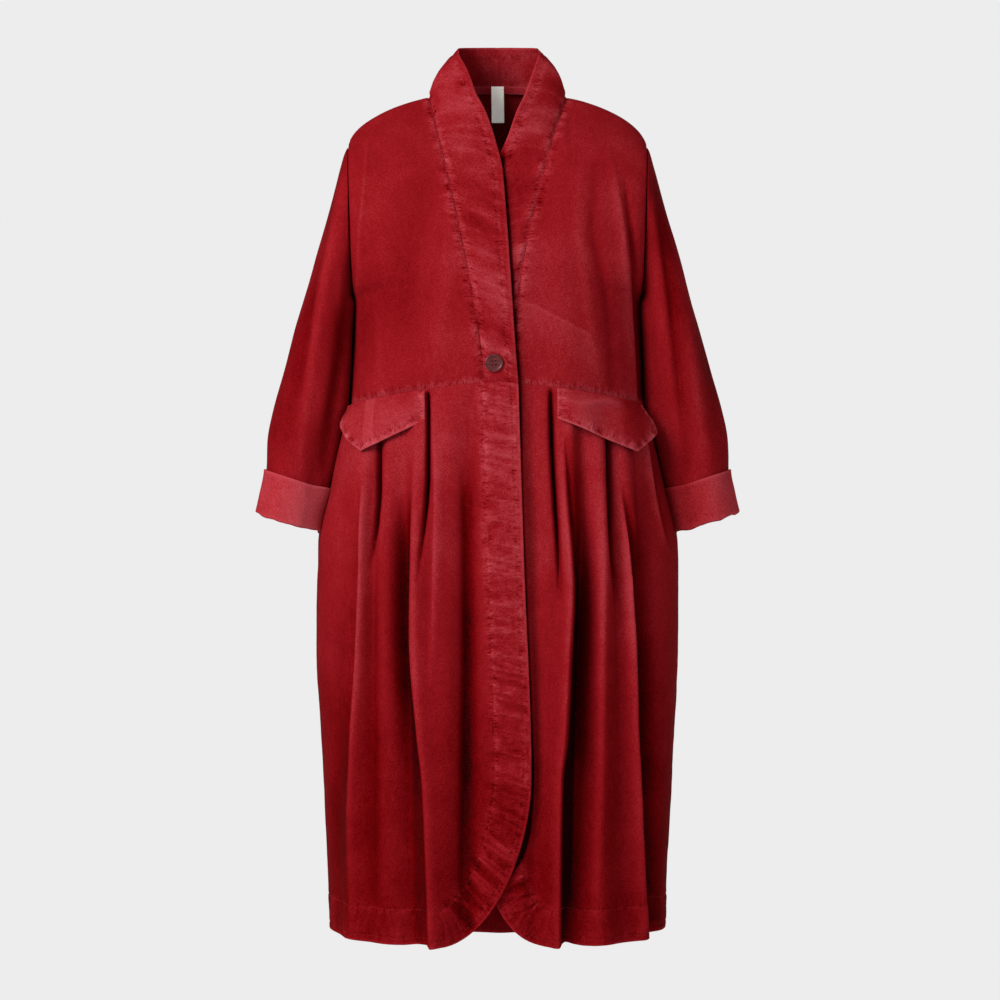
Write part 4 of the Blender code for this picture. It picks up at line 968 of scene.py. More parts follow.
def gathered(inwards, deep):
    """How much a row of stitches deep inside an edge wrinkles the cloth on both its sides."""
    return bell(inwards - deep, 0.0065)


def soft_swell(across, along, seed):
    """Cloth is nowhere quite smooth."""
    broad = swells(across, along, 0.075, seed) * 0.0012
    return (broad + swells(across, along, 0.028, seed + 1) * 0.00045
            + swells(across, along, 0.011, seed + 2) * 0.00012)


def contour(points, inwards, deep):
    """The path where inwards equals deep: down the rows beside the free edge, then along the hem."""
    rows, columns = inwards.shape
    path, last_col = [], 0.0
    for row in range(1, rows):
        peak = int(np.argmax(inwards[row] > deep)) if (inwards[row] > deep).any() else -1
        if peak <= 0:
            break
        before, after = inwards[row, peak - 1], inwards[row, peak]
        last_col = peak - 1 + (deep - before) / (after - before)
        path.append(on_grid(points, row, last_col))
    for col in range(int(last_col) + 2, columns):
        order = inwards[::-1, col]
        peak = int(np.argmax(order > deep))
        if peak <= 0:
            continue
        share = (deep - order[peak - 1]) / (order[peak] - order[peak - 1])
        path.append(on_grid(points, rows - 1 - (peak - 1 + share), col))
    return np.array(path)


def skirt_downs(rows):
    """Heights of the skirt's rows, from waist to hem, closer together towards the hem."""
    return 1.0 - (1.0 - np.linspace(0.0, 1.0, rows + 1)) ** HEM_CROWDING


def make_skirt_front(side, cloth, velvet):
    name = "skirt_front_" + side_word(side)
    rows, columns = SKIRT_FRONT_CELLS
    downs = skirt_downs(rows)
    shares = np.linspace(0.0, 1.0, columns + 1)
    arcs = np.array([front_arcs(side, down, shares) for down in downs])
    folds = RIGHT_FOLDS if side == RIGHT else LEFT_FOLDS
    made = [skirt_row(side, -1, folds, arcs[row], downs[row]) for row in range(rows + 1)]
    grid, outwards = np.array([m[0] for m in made]), np.array([m[1] for m in made])
    grid[0, :, 2] -= SEAM_GAP
    grid[:, -1, 1] -= SEAM_GAP / 2
    drops = np.repeat(downs[:, None] * FOLD_DROPS[-1], columns + 1, axis=1)
    flat = np.stack((arcs, drops), axis=-1)
    inwards, along = nearest(flat, np.concatenate((flat[:, 0], flat[-1, 1:])))
    _, from_side, from_top, _ = edge_distances(grid)
    creases = RIGHT_SKIRT_CREASES if side == RIGHT else LEFT_SKIRT_CREASES
    ends = ease(0.0, 0.010, from_top) * ease(0.0, 0.012, from_side)
    fold, seen = (part * ends for part in creased(creases, side * grid[..., 0], grid[..., 2]))
    on_hem = ease(-0.08, -0.01, along - run(grid, 0)[-1, 0])
    wrinkle = puckers(inwards, along, FACING_DEEP, FACING_PUCKER, 40 + side) * (1.0 - 0.62 * on_hem)
    wrinkle += (0.0008 * waves(along, 0.006, 50 + side) * bell(inwards - EDGE_STITCH_IN, 0.004)
                * (1.0 - 0.5 * on_hem))
    doubled = 0.0005 * (1.0 - ease(FACING_DEEP - 0.002, FACING_DEEP + 0.002, inwards))
    gathers = (0.0007 * waves(arcs[:1].repeat(rows + 1, axis=0), 0.009, 60 + side)
               * bell(from_top - 0.012, 0.012))
    offset = fold + wrinkle + doubled + gathers + soft_swell(arcs, drops, 70 + side)
    offset += (seam_groove(from_top, from_side)
               + stitch_groove(inwards - FACING_DEEP, inwards - EDGE_STITCH_IN))
    offset *= ease(-0.002, 0.004, from_top)
    grid = grid + outwards * offset[..., None]
    # painted highlights on the pucker crests and painted shade in their dips; paler edge wear and facing
    nap = wrinkle / FACING_PUCKER * 0.26 + 0.26 * bell(inwards, 0.003) + 0.03 * (doubled > 0.0002)
    # painted shade in the fold hollows and towards the hem, painted highlights on the ridges
    nap += SKIRT_NAP + painted_fold_light(seen, 0.006) - HEM_PAINTED_SHADE * ease(0.05, 0.70, drops)
    if side == RIGHT:
        # painted shade along the hollow beside the facing
        nap -= 0.24 * bell(side * grid[..., 0] - 0.036, 0.010) * ease(0.04, 0.16, drops)
    else:
        # painted shadow under the upper front and along its edge
        nap -= UNDER_LAP_SHADE * under_lap(grid[..., 0], grid[..., 2])
        grid[..., 1] += 0.0018 * (1.0 - ease(-0.012, 0.024, grid[..., 0])) * ease(0.0, 0.03, drops)
    grid[..., 2] -= (HEM_FOLLOWS * (seen * 0.4 + np.minimum(seen, 0.0) * 0.6)
                     * ease(0.84, 1.0, drops / FOLD_DROPS[-1]))
    normals = grid_normals(grid, False, from_axis(grid))
    normals[0] = unit(normals[0] * (1, 1, 0))
    normals[:, -1] = unit(normals[:, -1] * (1, 0, 1))
    strength = np.maximum(gathered(inwards, FACING_DEEP),
                          0.8 * gathered(inwards, EDGE_STITCH_IN)) * (1.0 - 0.6 * on_hem)
    strength = np.maximum(strength, 0.35 * (inwards < FACING_DEEP) * (1.0 - on_hem))
    made = shell(name + "_cloth", grid, normals, cloth.thickness, nap, velvet, free="first bottom",
                 sewn=(along, inwards, strength))
    outer = grid + normals * (cloth.thickness / 2)
    sew(name, contour(outer, inwards, FACING_DEEP), contour(outer, inwards, EDGE_STITCH_IN))
    return made


def make_skirt_back(cloth, velvet):
    rows, columns = SKIRT_BACK_CELLS
    downs = skirt_downs(rows)
    grid, outwards, arcs = [], [], []
    for down in downs:
        side_arc = skirt_ring(down, 1)[0][-1]
        arcs.append(np.linspace(-side_arc, side_arc, columns + 1))
        points, normal = skirt_row(1, 1, BACK_FOLDS, arcs[-1], down)
        grid.append(points)
        outwards.append(normal)
    grid, outwards, arcs = np.array(grid), np.array(outwards), np.array(arcs)
    grid[0, :, 2] -= SEAM_GAP
    grid[:, (0, -1), 1] += SEAM_GAP / 2
    from_right, from_left, from_top, from_hem = edge_distances(grid)
    from_side = np.minimum(from_left, from_right)
    ends = ease(0.0, 0.010, from_top) * ease(0.0, 0.015, from_side)
    fold, seen = (part * ends for part in creased(BACK_SKIRT_CREASES, grid[..., 0], grid[..., 2]))
    wrinkle = puckers(from_hem, arcs, HEM_DEEP, HEM_PUCKER, 44)
    gathers = 0.0008 * waves(arcs[:1].repeat(rows + 1, axis=0), 0.010, 64) * bell(from_top - 0.012, 0.012)
    offset = fold + wrinkle + gathers + soft_swell(arcs, from_top, 74)
    offset += seam_groove(from_top, from_side) + stitch_groove(from_hem - HEM_DEEP)
    offset *= ease(-0.002, 0.004, from_top)
    grid = grid + outwards * offset[..., None]
    # painted highlights on the hem's pucker crests and fold ridges, painted shade in hollows and towards
    # the hem; paler wear along the hem
    nap = SKIRT_NAP + wrinkle / 0.0011 * 0.3 + 0.25 * bell(from_hem, 0.003) + painted_fold_light(seen, 0.006)
    nap -= HEM_PAINTED_SHADE * ease(0.05, 0.70, from_top)
    normals = grid_normals(grid, False, from_axis(grid))
    normals[0] = unit(normals[0] * (1, 1, 0))
    normals[:, (0, -1)] = unit(normals[:, (0, -1)] * (1, 0, 1))
    made = shell("skirt_back_cloth", grid, normals, cloth.thickness, nap, velvet, free="bottom",
                 sewn=(arcs, from_hem, 0.4 * gathered(from_hem, HEM_DEEP)))
    sew("skirt_back", line_along(grid + normals * (cloth.thickness / 2), from_hem, HEM_DEEP))
    return made


def smooth_by_underarm(side, grid):
    """Cloth in front of the underarm is drawn even, with no ledge where the side seam ends."""
    from_underarm = np.hypot(side * grid[..., 0] - UNDERARM[0], grid[..., 2] - UNDERARM[2])
    near = bell(from_underarm, UNDERARM_EVEN_WIDE)[1:-1, 1:-1, None]
    for _ in range(UNDERARM_EVEN_TIMES):
        even = (grid[:-2, 1:-1] + grid[2:, 1:-1] + grid[1:-1, :-2] + grid[1:-1, 2:]) / 4
        grid[1:-1, 1:-1] += UNDERARM_EVEN_STEP * near * (even - grid[1:-1, 1:-1])


def make_bodice_front(side, cloth, velvet):
    name = "bodice_front_" + side_word(side)
    rows, columns = BODICE_FRONT_CELLS
    ups = np.linspace(0.0, 1.0, rows + 1)
    shares = np.linspace(0.0, 1.0, columns + 1)
    grid = np.array([bodice_front_row(side, up, shares=shares) for up in ups])
    grid[:, -1, 1] -= SEAM_GAP / 2
    smooth_by_underarm(side, grid)
    outwards = grid_normals(grid, False, from_axis(grid))
    outwards[:, 0] = [seam_normal(side, up) for up in ups]
    from_band, from_side, from_waist, from_top = edge_distances(grid)
    own_x, z = side * grid[..., 0], grid[..., 2]
    creases = RIGHT_BODICE_CREASES if side == RIGHT else LEFT_BODICE_CREASES
    inside = (ease(0.0, 0.010, from_waist) * ease(0.0, 0.008, from_side)
              * ease(0.0, 0.010, from_band) * ease(0.0, 0.012, from_top))
    fold, seen = (part * inside for part in creased(creases, own_x, z))
    wrinkle = (0.0010 * waves(from_waist, 0.0065, 80 + side) * bell(from_band - 0.003, 0.008)
               * ease(0.0, 0.003, from_band))
    wrinkle += 0.0005 * waves(from_band, 0.0046, 84 + side) * bell(from_waist - 0.006, 0.0045)
    offset = fold + wrinkle + soft_swell(from_band, from_waist, 90 + side) * inside
    offset += seam_groove(from_band, from_waist, from_top) + stitch_groove(from_waist - WAIST_STITCH_UP)
    offset += seam_groove(from_side, dip=ARMHOLE_DIP)
    # painted shade in crease hollows, painted highlights on crests and on the wrinkles by the band; a pale
    # line along the waist seam
    nap = (BODICE_NAP + painted_fold_light(seen, 0.005) + 0.12 * bell(from_waist - 0.0030, 0.0024)
           + wrinkle / 0.0007 * 0.2)
    if side == LEFT:
        line = through(np.array(NAP_CREASE_XS) * MM, NAP_CREASE_ZS, own_x) * MM
        below = line - z
        in_reach = ease(0.020, 0.034, own_x) * (1.0 - ease(0.118, 0.136, own_x))
        offset += 0.0012 * bell(below, 0.0040) * in_reach - 0.0007 * bell(below + 0.006, 0.005) * in_reach
        # a painted highlight along the crest of the crease, and the brushed nap paler below it
        nap += (0.10 * ease(-0.002, 0.002, below) * (1.0 - ease(0.004, 0.060, below))
                + 0.17 * bell(below, 0.0018)) * in_reach
        # painted shadow where the upper front lies over this one
        nap += 0.05 - UNDER_LAP_SHADE * under_lap(grid[..., 0], z)
    grid = grid + outwards * offset[..., None]
    normals = grid_normals(grid, False, from_axis(grid))
    normals[0] = unit(normals[0] * (1, 1, 0))
    below_arm = ups <= UNDERARM_UP
    normals[below_arm, -1] = unit(normals[below_arm, -1] * (1, 0, 1))
    normals[-1] = unit(normals[-1] * (1, 0, 1))
    for row, up in enumerate(ups):
        lean = (1.0 - ease(0.0, 0.012, from_band[row]))[:, None]
        normals[row] = unit(normals[row] * (1.0 - lean) + seam_normal(side, up) * lean)
    by_band = from_band < from_waist
    sewn = (np.where(by_band, from_waist, from_band), np.where(by_band, from_band, from_waist),
            np.maximum(bell(from_band - 0.002, 0.008), bell(from_waist - 0.003, 0.005)))
    made = shell(name + "_cloth", grid, normals, cloth.thickness, nap, velvet, sewn=sewn)
    outer = grid + normals * (cloth.thickness / 2)
    sew(name, line_along(outer, from_waist, WAIST_STITCH_UP))
    return made


def make_bodice_back(cloth, velvet):
    rows, columns = BODICE_BACK_CELLS
    ups = np.linspace(0.0, 1.0, rows + 1)
    shares = np.linspace(-1.0, 1.0, columns + 1)
    grid = bodice_back_form(ups, shares)
    grid[:, (0, -1), 1] += SEAM_GAP / 2
    outwards = grid_normals(grid, False, from_axis(grid))
    on_neck = np.flatnonzero(np.abs(shares) <= 0.5)
    outwards[-1, on_neck] = [seam_normal(math.copysign(1.0, shares[col]), 2.0 - abs(shares[col]) / 0.5)
                             for col in on_neck]
    from_right, from_left, from_waist, from_top = edge_distances(grid)
    from_side = np.minimum(from_left, from_right)
    inside = ease(0.0, 0.010, from_waist) * ease(0.0, 0.008, from_side) * ease(0.0, 0.012, from_top)
    fold, seen = (part * inside for part in creased(BACK_BODICE_CREASES, grid[..., 0], grid[..., 2]))
    offset = fold + soft_swell(from_right, from_waist, 96) * inside
    offset += 0.0006 * waves(from_right, 0.0080, 98) * bell(from_waist - 0.004, 0.009)
    offset += seam_groove(from_side, from_waist, from_top) + stitch_groove(from_waist - WAIST_STITCH_UP)
    grid = grid + outwards * offset[..., None]
    # painted shade in crease hollows, painted highlights on crests, and a pale line along the waist seam
    nap = BODICE_NAP + painted_fold_light(seen, 0.005) + 0.12 * bell(from_waist - 0.0030, 0.0024)
    normals = grid_normals(grid, False, from_axis(grid))
    normals[0] = unit(normals[0] * (1, 1, 0))
    below_arm = np.flatnonzero(ups <= UNDERARM_UP)
    for edge in (0, -1):
        normals[below_arm, edge] = unit(normals[below_arm, edge] * (1, 0, 1))
    for col, share in enumerate(shares):
        if abs(share) <= 0.5:
            normals[-1, col] = seam_normal(math.copysign(1.0, share), 2.0 - abs(share) / 0.5)
        else:
            normals[-1, col] = unit(normals[-1, col] * (1, 0, 1))
    made = shell("bodice_back_cloth", grid, normals, cloth.thickness, nap, velvet,
                 sewn=(from_right, from_waist, bell(from_waist - 0.003, 0.005)))
    outer = grid + normals * (cloth.thickness / 2)
    sew("bodice_back", line_along(outer, from_waist, WAIST_STITCH_UP))
    return made


def make_band(side, cloth, velvet):
    name = "collar_band_" + side_word(side)
    rows, columns = BAND_CELLS
    alongs = np.linspace(0.0, 2.0, rows + 1)
    shares = np.linspace(0.0, 1.0, columns + 1)
    grid = np.array([band_row(side, along, shares) for along in alongs])
    outwards = grid_normals(grid, False, np.zeros(3))
    if float(outwards[0, 0, 1]) > 0.0:
        outwards = -outwards
    outwards[:, 0] = [seam_normal(side, along) for along in alongs]
    from_seam, from_edge, from_waist, from_back = edge_distances(grid)
    up = np.maximum.accumulate(run(grid, 0)[:, :1], axis=0).repeat(columns + 1, axis=1)
    lean = up + 0.55 * from_seam
    small = waves(lean, 0.0058, 20 + side) * 0.6 + waves(lean - 0.2 * from_seam, 0.0130, 24 + side) * 0.8
    large = waves(up + 0.8 * from_seam, 0.026, 28 + side)
    pinched = np.maximum(bell(from_edge - BAND_STITCH_IN, 0.0070),
                         bell(from_seam - BAND_SEAM_STITCH, 0.0080))
    calm = 1.0 - 0.6 * ease(0.9, 1.1, alongs)[:, None]
    crests = (1.0 - np.abs(waves(up + 0.5 * from_seam, 0.017, 32 + side))) ** 4 - 0.2
    wrinkle = (BAND_PUCKER * small * pinched
               + (0.0014 * large + 0.0010 * crests) * np.sin(shares * math.pi)) * calm
    if side == RIGHT:
        from_button = np.hypot(grid[..., 0] - BUTTON_X, grid[..., 2] - BUTTON_Z)
        wrinkle *= ease(BUTTON_RADIUS * 0.9, BUTTON_RADIUS * 1.5, from_button)
    offset = (wrinkle * ease(0.0, 0.004, from_back) * ease(0.0, 0.004, from_waist)
              * ease(0.0, 0.003, from_seam))
    offset += BAND_STANDS * ease(0.0, 0.004, from_seam) * (1.0 - ease(0.75, 1.0, alongs))[:, None]
    offset += (seam_groove(from_seam, from_back, from_waist)
               + stitch_groove(from_edge - BAND_STITCH_IN, from_seam - BAND_SEAM_STITCH))
    grid = grid + outwards * offset[..., None]
    # painted highlights on the wrinkle crests and painted shade in their dips; paler wear along the free
    # edge and beside the seam
    nap = (BAND_NAP + wrinkle / BAND_PUCKER * 0.26 + 0.22 * bell(from_edge, 0.0025)
           + 0.10 * bell(from_seam - BAND_SEAM_STITCH, 0.004))
    if side == LEFT:
        # painted shadow where the upper band lies over this one
        nap += (0.06 - UNDER_LAP_SHADE * under_lap(grid[..., 0], grid[..., 2])
                * (1.0 - ease(0.68, 0.78, alongs))[:, None])
    normals = grid_normals(grid, False, outwards)
    normals[0] = unit(normals[0] * (1, 1, 0))
    normals[-1] = unit(normals[-1] * (0, 1, 1))
    for row, along in enumerate(alongs):
        near = (1.0 - ease(0.0, 0.010, from_seam[row]))[:, None]
        normals[row] = unit(normals[row] * (1.0 - near) + seam_normal(side, along) * near)
    thick = cloth.thickness * BAND_THICKER
    strength = np.maximum(gathered(from_edge, BAND_STITCH_IN),
                          gathered(from_seam, BAND_SEAM_STITCH)) * (0.4 + 0.6 * calm)
    made = shell(name + "_cloth", grid, normals, thick, nap, velvet, free="last",
                 sewn=(up + 0.45 * from_seam, from_seam, np.maximum(strength, 0.25)))
    outer, inner = grid + normals * (thick / 2), grid - normals * (thick / 2)
    sew(name, line_across(outer, from_edge, BAND_STITCH_IN, first=2, last=rows - 1),
        line_across(outer, from_seam, BAND_SEAM_STITCH, first=2, last=rows - 1))
    back_rows = int(rows * 0.72)
    sew(name, line_across(inner, from_edge, BAND_STITCH_IN, first=back_rows, last=rows - 1))
    return made


def make_sleeve(side, cloth, velvet):
    name = "sleeve_" + side_word(side)
    rows, count = SLEEVE_CELLS
    places = np.linspace(0.0, len(SLEEVE_RINGS) - 1.0, rows + 1)
    grid = sleeve_form(side, places, count)
    grid[-1] = grid[-2] + (grid[-1] - grid[-2]) * 0.5
    centre = grid.mean(axis=1, keepdims=True)
    outwards = grid_normals(grid, True, grid - centre)
    from_cap, from_cuff = run(grid, 0), run(grid, 0)[-1:] - run(grid, 0)
    own_x, z = side * grid[..., 0], grid[..., 2]
    front = ease(0.004, -0.030, grid[..., 1])
    back = ease(0.004, 0.030, grid[..., 1])
    table = RIGHT_SLEEVE_CREASES if side == RIGHT else LEFT_SLEEVE_CREASES
    fold, seen = (before * front + behind * back for before, behind in
                  zip(creased(table, own_x, z), creased(BACK_SLEEVE_CREASES, own_x, z)))
    inside = ease(0.0, 0.014, from_cap) * ease(CUFF_COVERS, CUFF_COVERS + 0.022, from_cuff)
    around = run(grid, 1)
    swell = (swells(around, from_cap, 0.080, 100 + side) * 0.0018
             + swells(around, from_cap, 0.030, 104 + side) * 0.0005)
    seamless = ease(0.0, 0.02, around) * ease(0.0, 0.02, around[:, -1:] - around)
    offset = (fold + swell * seamless) * inside + seam_groove(from_cap, dip=ARMHOLE_DIP)
    grid = grid + outwards * offset[..., None]
    # painted shade over the whole sleeve and in crease hollows, painted highlights on crests
    nap = SLEEVE_PAINTED_SHADE + painted_fold_light(seen * inside, 0.005)
    normals = grid_normals(grid, True, outwards)
    normals[0] = unit(normals[0] * (0, 1, 1))
    return shell(name + "_cloth", grid, normals, cloth.thickness, nap, velvet, closed=True, free="bottom")


def make_cuff(side, cloth, wrong_side):
    """The turned-up end of the sleeve, rolled round its lower edge."""
    name = "cuff_" + side_word(side)
    count = SLEEVE_CELLS[1]
    places = np.linspace(CUFF_TOP_RING, len(SLEEVE_RINGS) - 1.0, CUFF_ROWS)
    sleeve = sleeve_form(side, places, count)
    centre = sleeve.mean(axis=1, keepdims=True)
    outwards = grid_normals(sleeve, True, sleeve - centre)
    downwards = np.linspace(0.0, 1.0, CUFF_ROWS)
    away = 0.0023 + 0.0012 * (1.0 - downwards) ** 2 + 0.0022 * downwards ** 2
    around = np.linspace(0.0, 1.0, count, endpoint=False) * 0.44
    closes = ease(0.0, 0.05, around) * (1.0 - ease(0.39, 0.44, around))
    flare = 0.0016 * waves(around, 0.055, 110 + side) * closes
    grid = sleeve + outwards * (away[:, None]
                                + flare[None, :] * (1.0 - 0.7 * downwards)[:, None])[..., None]
    ragged = (0.0022 * waves(around, 0.030, 114 + side)
              + 0.0008 * waves(around, 0.011, 118 + side)) * closes
    grid[..., 2] += ragged * downwards[:, None] ** 2
    down = unit(grid[-1] - grid[-2])
    roll = []
    for angle in np.linspace(0.0, math.pi, 7)[1:]:
        bulge = CUFF_ROLL * math.sin(angle)
        inwards = CUFF_ROLL * (1.0 - math.cos(angle))
        roll.append(grid[-1] + down * bulge - outwards[-1] * inwards)
    grid = np.concatenate((grid, np.array(roll)))
    _, _, from_top, _ = edge_distances(grid)
    rows = len(grid)
    across = around[None, :].repeat(rows, axis=0)
    seamless = ease(0.0, 0.02, around) * (1.0 - ease(0.42, 0.44, around))
    soft = (swells(across, from_top, 0.035, 120 + side) * 0.0009
            + swells(across, from_top, 0.012, 124 + side) * 0.0002) * seamless
    normals = grid_normals(grid, True,
                           np.concatenate((outwards, np.repeat(outwards[-1:], rows - CUFF_ROWS, axis=0))))
    body = (np.arange(rows) < CUFF_ROWS)[:, None]
    grid = grid + normals * (soft * body)[..., None]
    normals = grid_normals(grid, True, normals)
    # painted light: each cuff is drawn lit or shaded by side, and paler where it faces +X, which evens out
    # its shading; painted highlights on its swells and paler wear along its edges
    nap = CUFF_PAINTED_LIGHT[0 if side == RIGHT else 1] + 0.4 * ease(-0.5, 0.9, normals[..., 0])
    nap += (soft / 0.0009 * 0.12 + 0.20 * bell(from_top, 0.003)
            + 0.12 * bell(from_top - from_top[CUFF_ROWS], 0.004))
    made = shell(name + "_cloth", grid, normals, cloth.thickness, nap, wrong_side, closed=True,
                 free="top bottom")
    return made


def make_flap(side, cloth, velvet):
    name = "pocket_flap_" + side_word(side)
    table = RIGHT_FLAP if side == RIGHT else LEFT_FLAP
    columns, rows = FLAP_CELLS
    arcs_at = column(table, "arc")
    arcs = np.linspace(arcs_at[0], arcs_at[-1], columns + 1)
    upper = np.interp(arcs, arcs_at, column(table, "upper"))
    lower = np.interp(arcs, arcs_at, column(table, "lower"))
    lift = through(arcs_at, column(table, "lift"), arcs)
    shares = np.linspace(0.0, 1.0, rows + 1)
    drops = upper[:, None] + (lower - upper)[:, None] * shares
    grid, outwards = [], []
    slant = FLAP_SLANTS[0 if side == RIGHT else 1] * ((arcs - arcs[0]) / (arcs[-1] - arcs[0])) ** 7
    places = arcs[:, None] - slant[:, None] * (1.0 - shares)
    for col in range(columns + 1):
        out = FLAP_STANDS_OFF + lift[col] * ease(0.0, 0.030, drops[col])
        made = [skirt_row(side, -1, (), np.array([arc]), drop / FOLD_DROPS[-1], off)
                for arc, drop, off in zip(places[col], drops[col], out)]
        grid.append([m[0][0] for m in made])
        outwards.append([m[1][0] for m in made])
    grid, outwards = np.array(grid), np.array(outwards)
    flat = np.stack((places, drops), axis=-1)
    outline = np.concatenate((flat[0], flat[1:, -1], flat[-1, ::-1][1:]))
    inwards, along = nearest(flat, outline)
    from_top = drops - upper[:, None]
    bulge = 0.0016 * ease(0.0, 0.018, inwards) * ease(0.0, 0.010, from_top)
    ripple = puckers(inwards, along, FLAP_STITCH_IN, FLAP_PUCKER, 130 + side)
    soft = swells(flat[..., 0], drops, 0.030, 134 + side) * 0.0012 * ease(0.0, 0.010, from_top)
    curl = 0.0018 * waves(along, 0.034, 138 + side) * bell(inwards, 0.012) * ease(0.004, 0.016, from_top)
    grid = grid + outwards * (bulge + ripple + soft + curl
                              + stitch_groove(inwards - FLAP_STITCH_IN))[..., None]
    # painted highlights on the pucker crests and soft swells, painted shade in their dips; paler wear along
    # the edge
    nap = (FLAP_NAPS[0 if side == RIGHT else 1] + ripple / FLAP_PUCKER * 0.28
           + 0.30 * bell(inwards, 0.002) + soft / 0.0012 * 0.15)
    arc = flat[..., 0]
    if side == LEFT:
        crest = (bell(drops - 0.013 - 0.005 * np.sin((arc - arcs[0]) * 62.0), 0.0042)
                 * (1.0 - ease(0.150, 0.185, arc)))
        grid = grid + outwards * (0.0016 * crest)[..., None]
        # a painted highlight on the crest; the outer third is drawn darker
        nap += (0.16 * crest - 0.22 * ease(0.160, 0.180, arc) * (1.0 - ease(0.196, 0.212, arc))
                * ease(0.004, 0.010, inwards))
    else:
        nap += (0.16 * ease(0.1655, 0.1675, arc) * (1.0 - ease(0.1815, 0.1835, arc))
                * (1.0 - ease(0.050, 0.058, drops)))
    normals = grid_normals(grid, False, outwards)
    thick = cloth.thickness * FLAP_THICKER
    made = shell(name + "_cloth", grid, normals, thick, nap, velvet, free="first bottom last top",
                 sewn=(along, inwards, gathered(inwards, FLAP_STITCH_IN)))
    outer = grid + normals * (thick / 2)
    line = np.array([flat_point(outer, flat, point) for point in inset(outline, FLAP_STITCH_IN)])
    sew(name, line)
    return made


def inset(outline, deep):
    """The outline moved inwards, with its points that would fall outside left out."""
    ahead = unit(np.gradient(outline, axis=0))
    inner = outline + np.stack((ahead[:, 1], -ahead[:, 0]), axis=-1) * deep
    away, _ = nearest(inner[None], outline)
    return inner[away[0] > deep * 0.97]


def flat_point(points, flat, at):
    """The point of a grid at a flat place, columns along its first axis."""
    row = float(np.interp(at[0], flat[:, 0, 0], np.arange(len(flat))))
    low = flat[int(row), :, 1] * (1 - row % 1) + flat[min(int(row) + 1, len(flat) - 1), :, 1] * (row % 1)
    return on_grid(points, row, float(np.interp(at[1], low, np.arange(len(low)))))


def make_neck_tape(velvet):
    """A flat tape inside the back neck, along its seam."""
    rows = []
    downs = np.linspace(0.0, TAPE_WIDTH, 9)
    for degrees in np.linspace(-TAPE_REACH, TAPE_REACH, 81):
        point = neckline(2.0 - abs(degrees) / 90.0)
        point[0] = math.copysign(abs(point[0]), degrees) if degrees else 0.0
        flat = unit(np.array((point[0] / NECK_HALF, point[1] / NECK_BACK_Y, 0.0)))
        point = point - flat * TAPE_INSIDE
        point[2] -= TAPE_BELOW_SEAM
        rows.append([point - np.array((0.0, 0.0, down))
                     - flat * 0.0004 * math.sin(down / TAPE_WIDTH * math.pi) for down in downs])
    grid = np.array(rows)
    inwards = -from_axis(grid)
    normals = grid_normals(grid, False, inwards)
    across = run(grid, 1)
    nap = 0.15 + 0.3 * np.maximum(bell(across, 0.001), bell(TAPE_WIDTH - across, 0.001))
    made = shell("neck_tape_cloth", grid, normals, TAPE_THICK, nap, velvet, free="first last top bottom")
    outer = grid + normals * (TAPE_THICK / 2)
    sew("neck_tape", line_across(outer, across, TAPE_STITCH_IN, 1, 80),
        line_across(outer, across, TAPE_WIDTH - TAPE_STITCH_IN, 1, 80))
    return made


def make_label(ribbon):
    """A folded ribbon that hangs from the neck tape, left blank."""
    front = LABEL_FRONT_Y
    grid = []
    for drop in np.linspace(0.0, LABEL_DROP, 61):
        share = drop / LABEL_DROP
        row = []
        for across in np.linspace(-LABEL_WIDTH / 2, LABEL_WIDTH / 2, 21):
            wave = 0.0006 * math.sin(share * 5.0 + across * 60.0) * share
            row.append((across + 0.0006 * share, front - 0.004 * share ** 2 - wave,
                        NECK_BACK_Z - TAPE_BELOW_SEAM - drop))
        grid.append(row)
    grid = np.array(grid)
    normals = grid_normals(grid, False, np.array((0.0, -1.0, 0.0)))
    across, _, along, _ = edge_distances(grid)
    made = shell("label_ribbon", grid, normals, LABEL_THICK, np.zeros(grid.shape[:2]), ribbon,
                 free="first last bottom")
    outer = grid + normals * (LABEL_THICK / 2)
    sew("label", line_along(outer, along, 0.0045, 1, 20))
    return made


def turned(profile, count, centre):
    """Points and faces of a solid turned about Y, from radius and y pairs that end on the axis."""
    angle = np.linspace(0.0, 2.0 * math.pi, count, endpoint=False)
    points = [np.array(centre) + (0.0, profile[0][1], 0.0)]
    for radius, y in profile[1:-1]:
        points.extend(np.array(centre)
                      + np.stack((radius * np.cos(angle), np.full(count, y), radius * np.sin(angle)),
                                 axis=-1))
    points.append(np.array(centre) + (0.0, profile[-1][1], 0.0))
    faces, rings = [], len(profile) - 2
    for step in range(count):
        after = (step + 1) % count
        faces.append([0, 1 + after, 1 + step])
        faces.append([len(points) - 1, 1 + (rings - 1) * count + step, 1 + (rings - 1) * count + after])
        for ring in range(rings - 1):
            low, high = 1 + ring * count, 1 + (ring + 1) * count
            faces.append([low + step, low + after, high + after, high + step])
    return np.array(points), faces


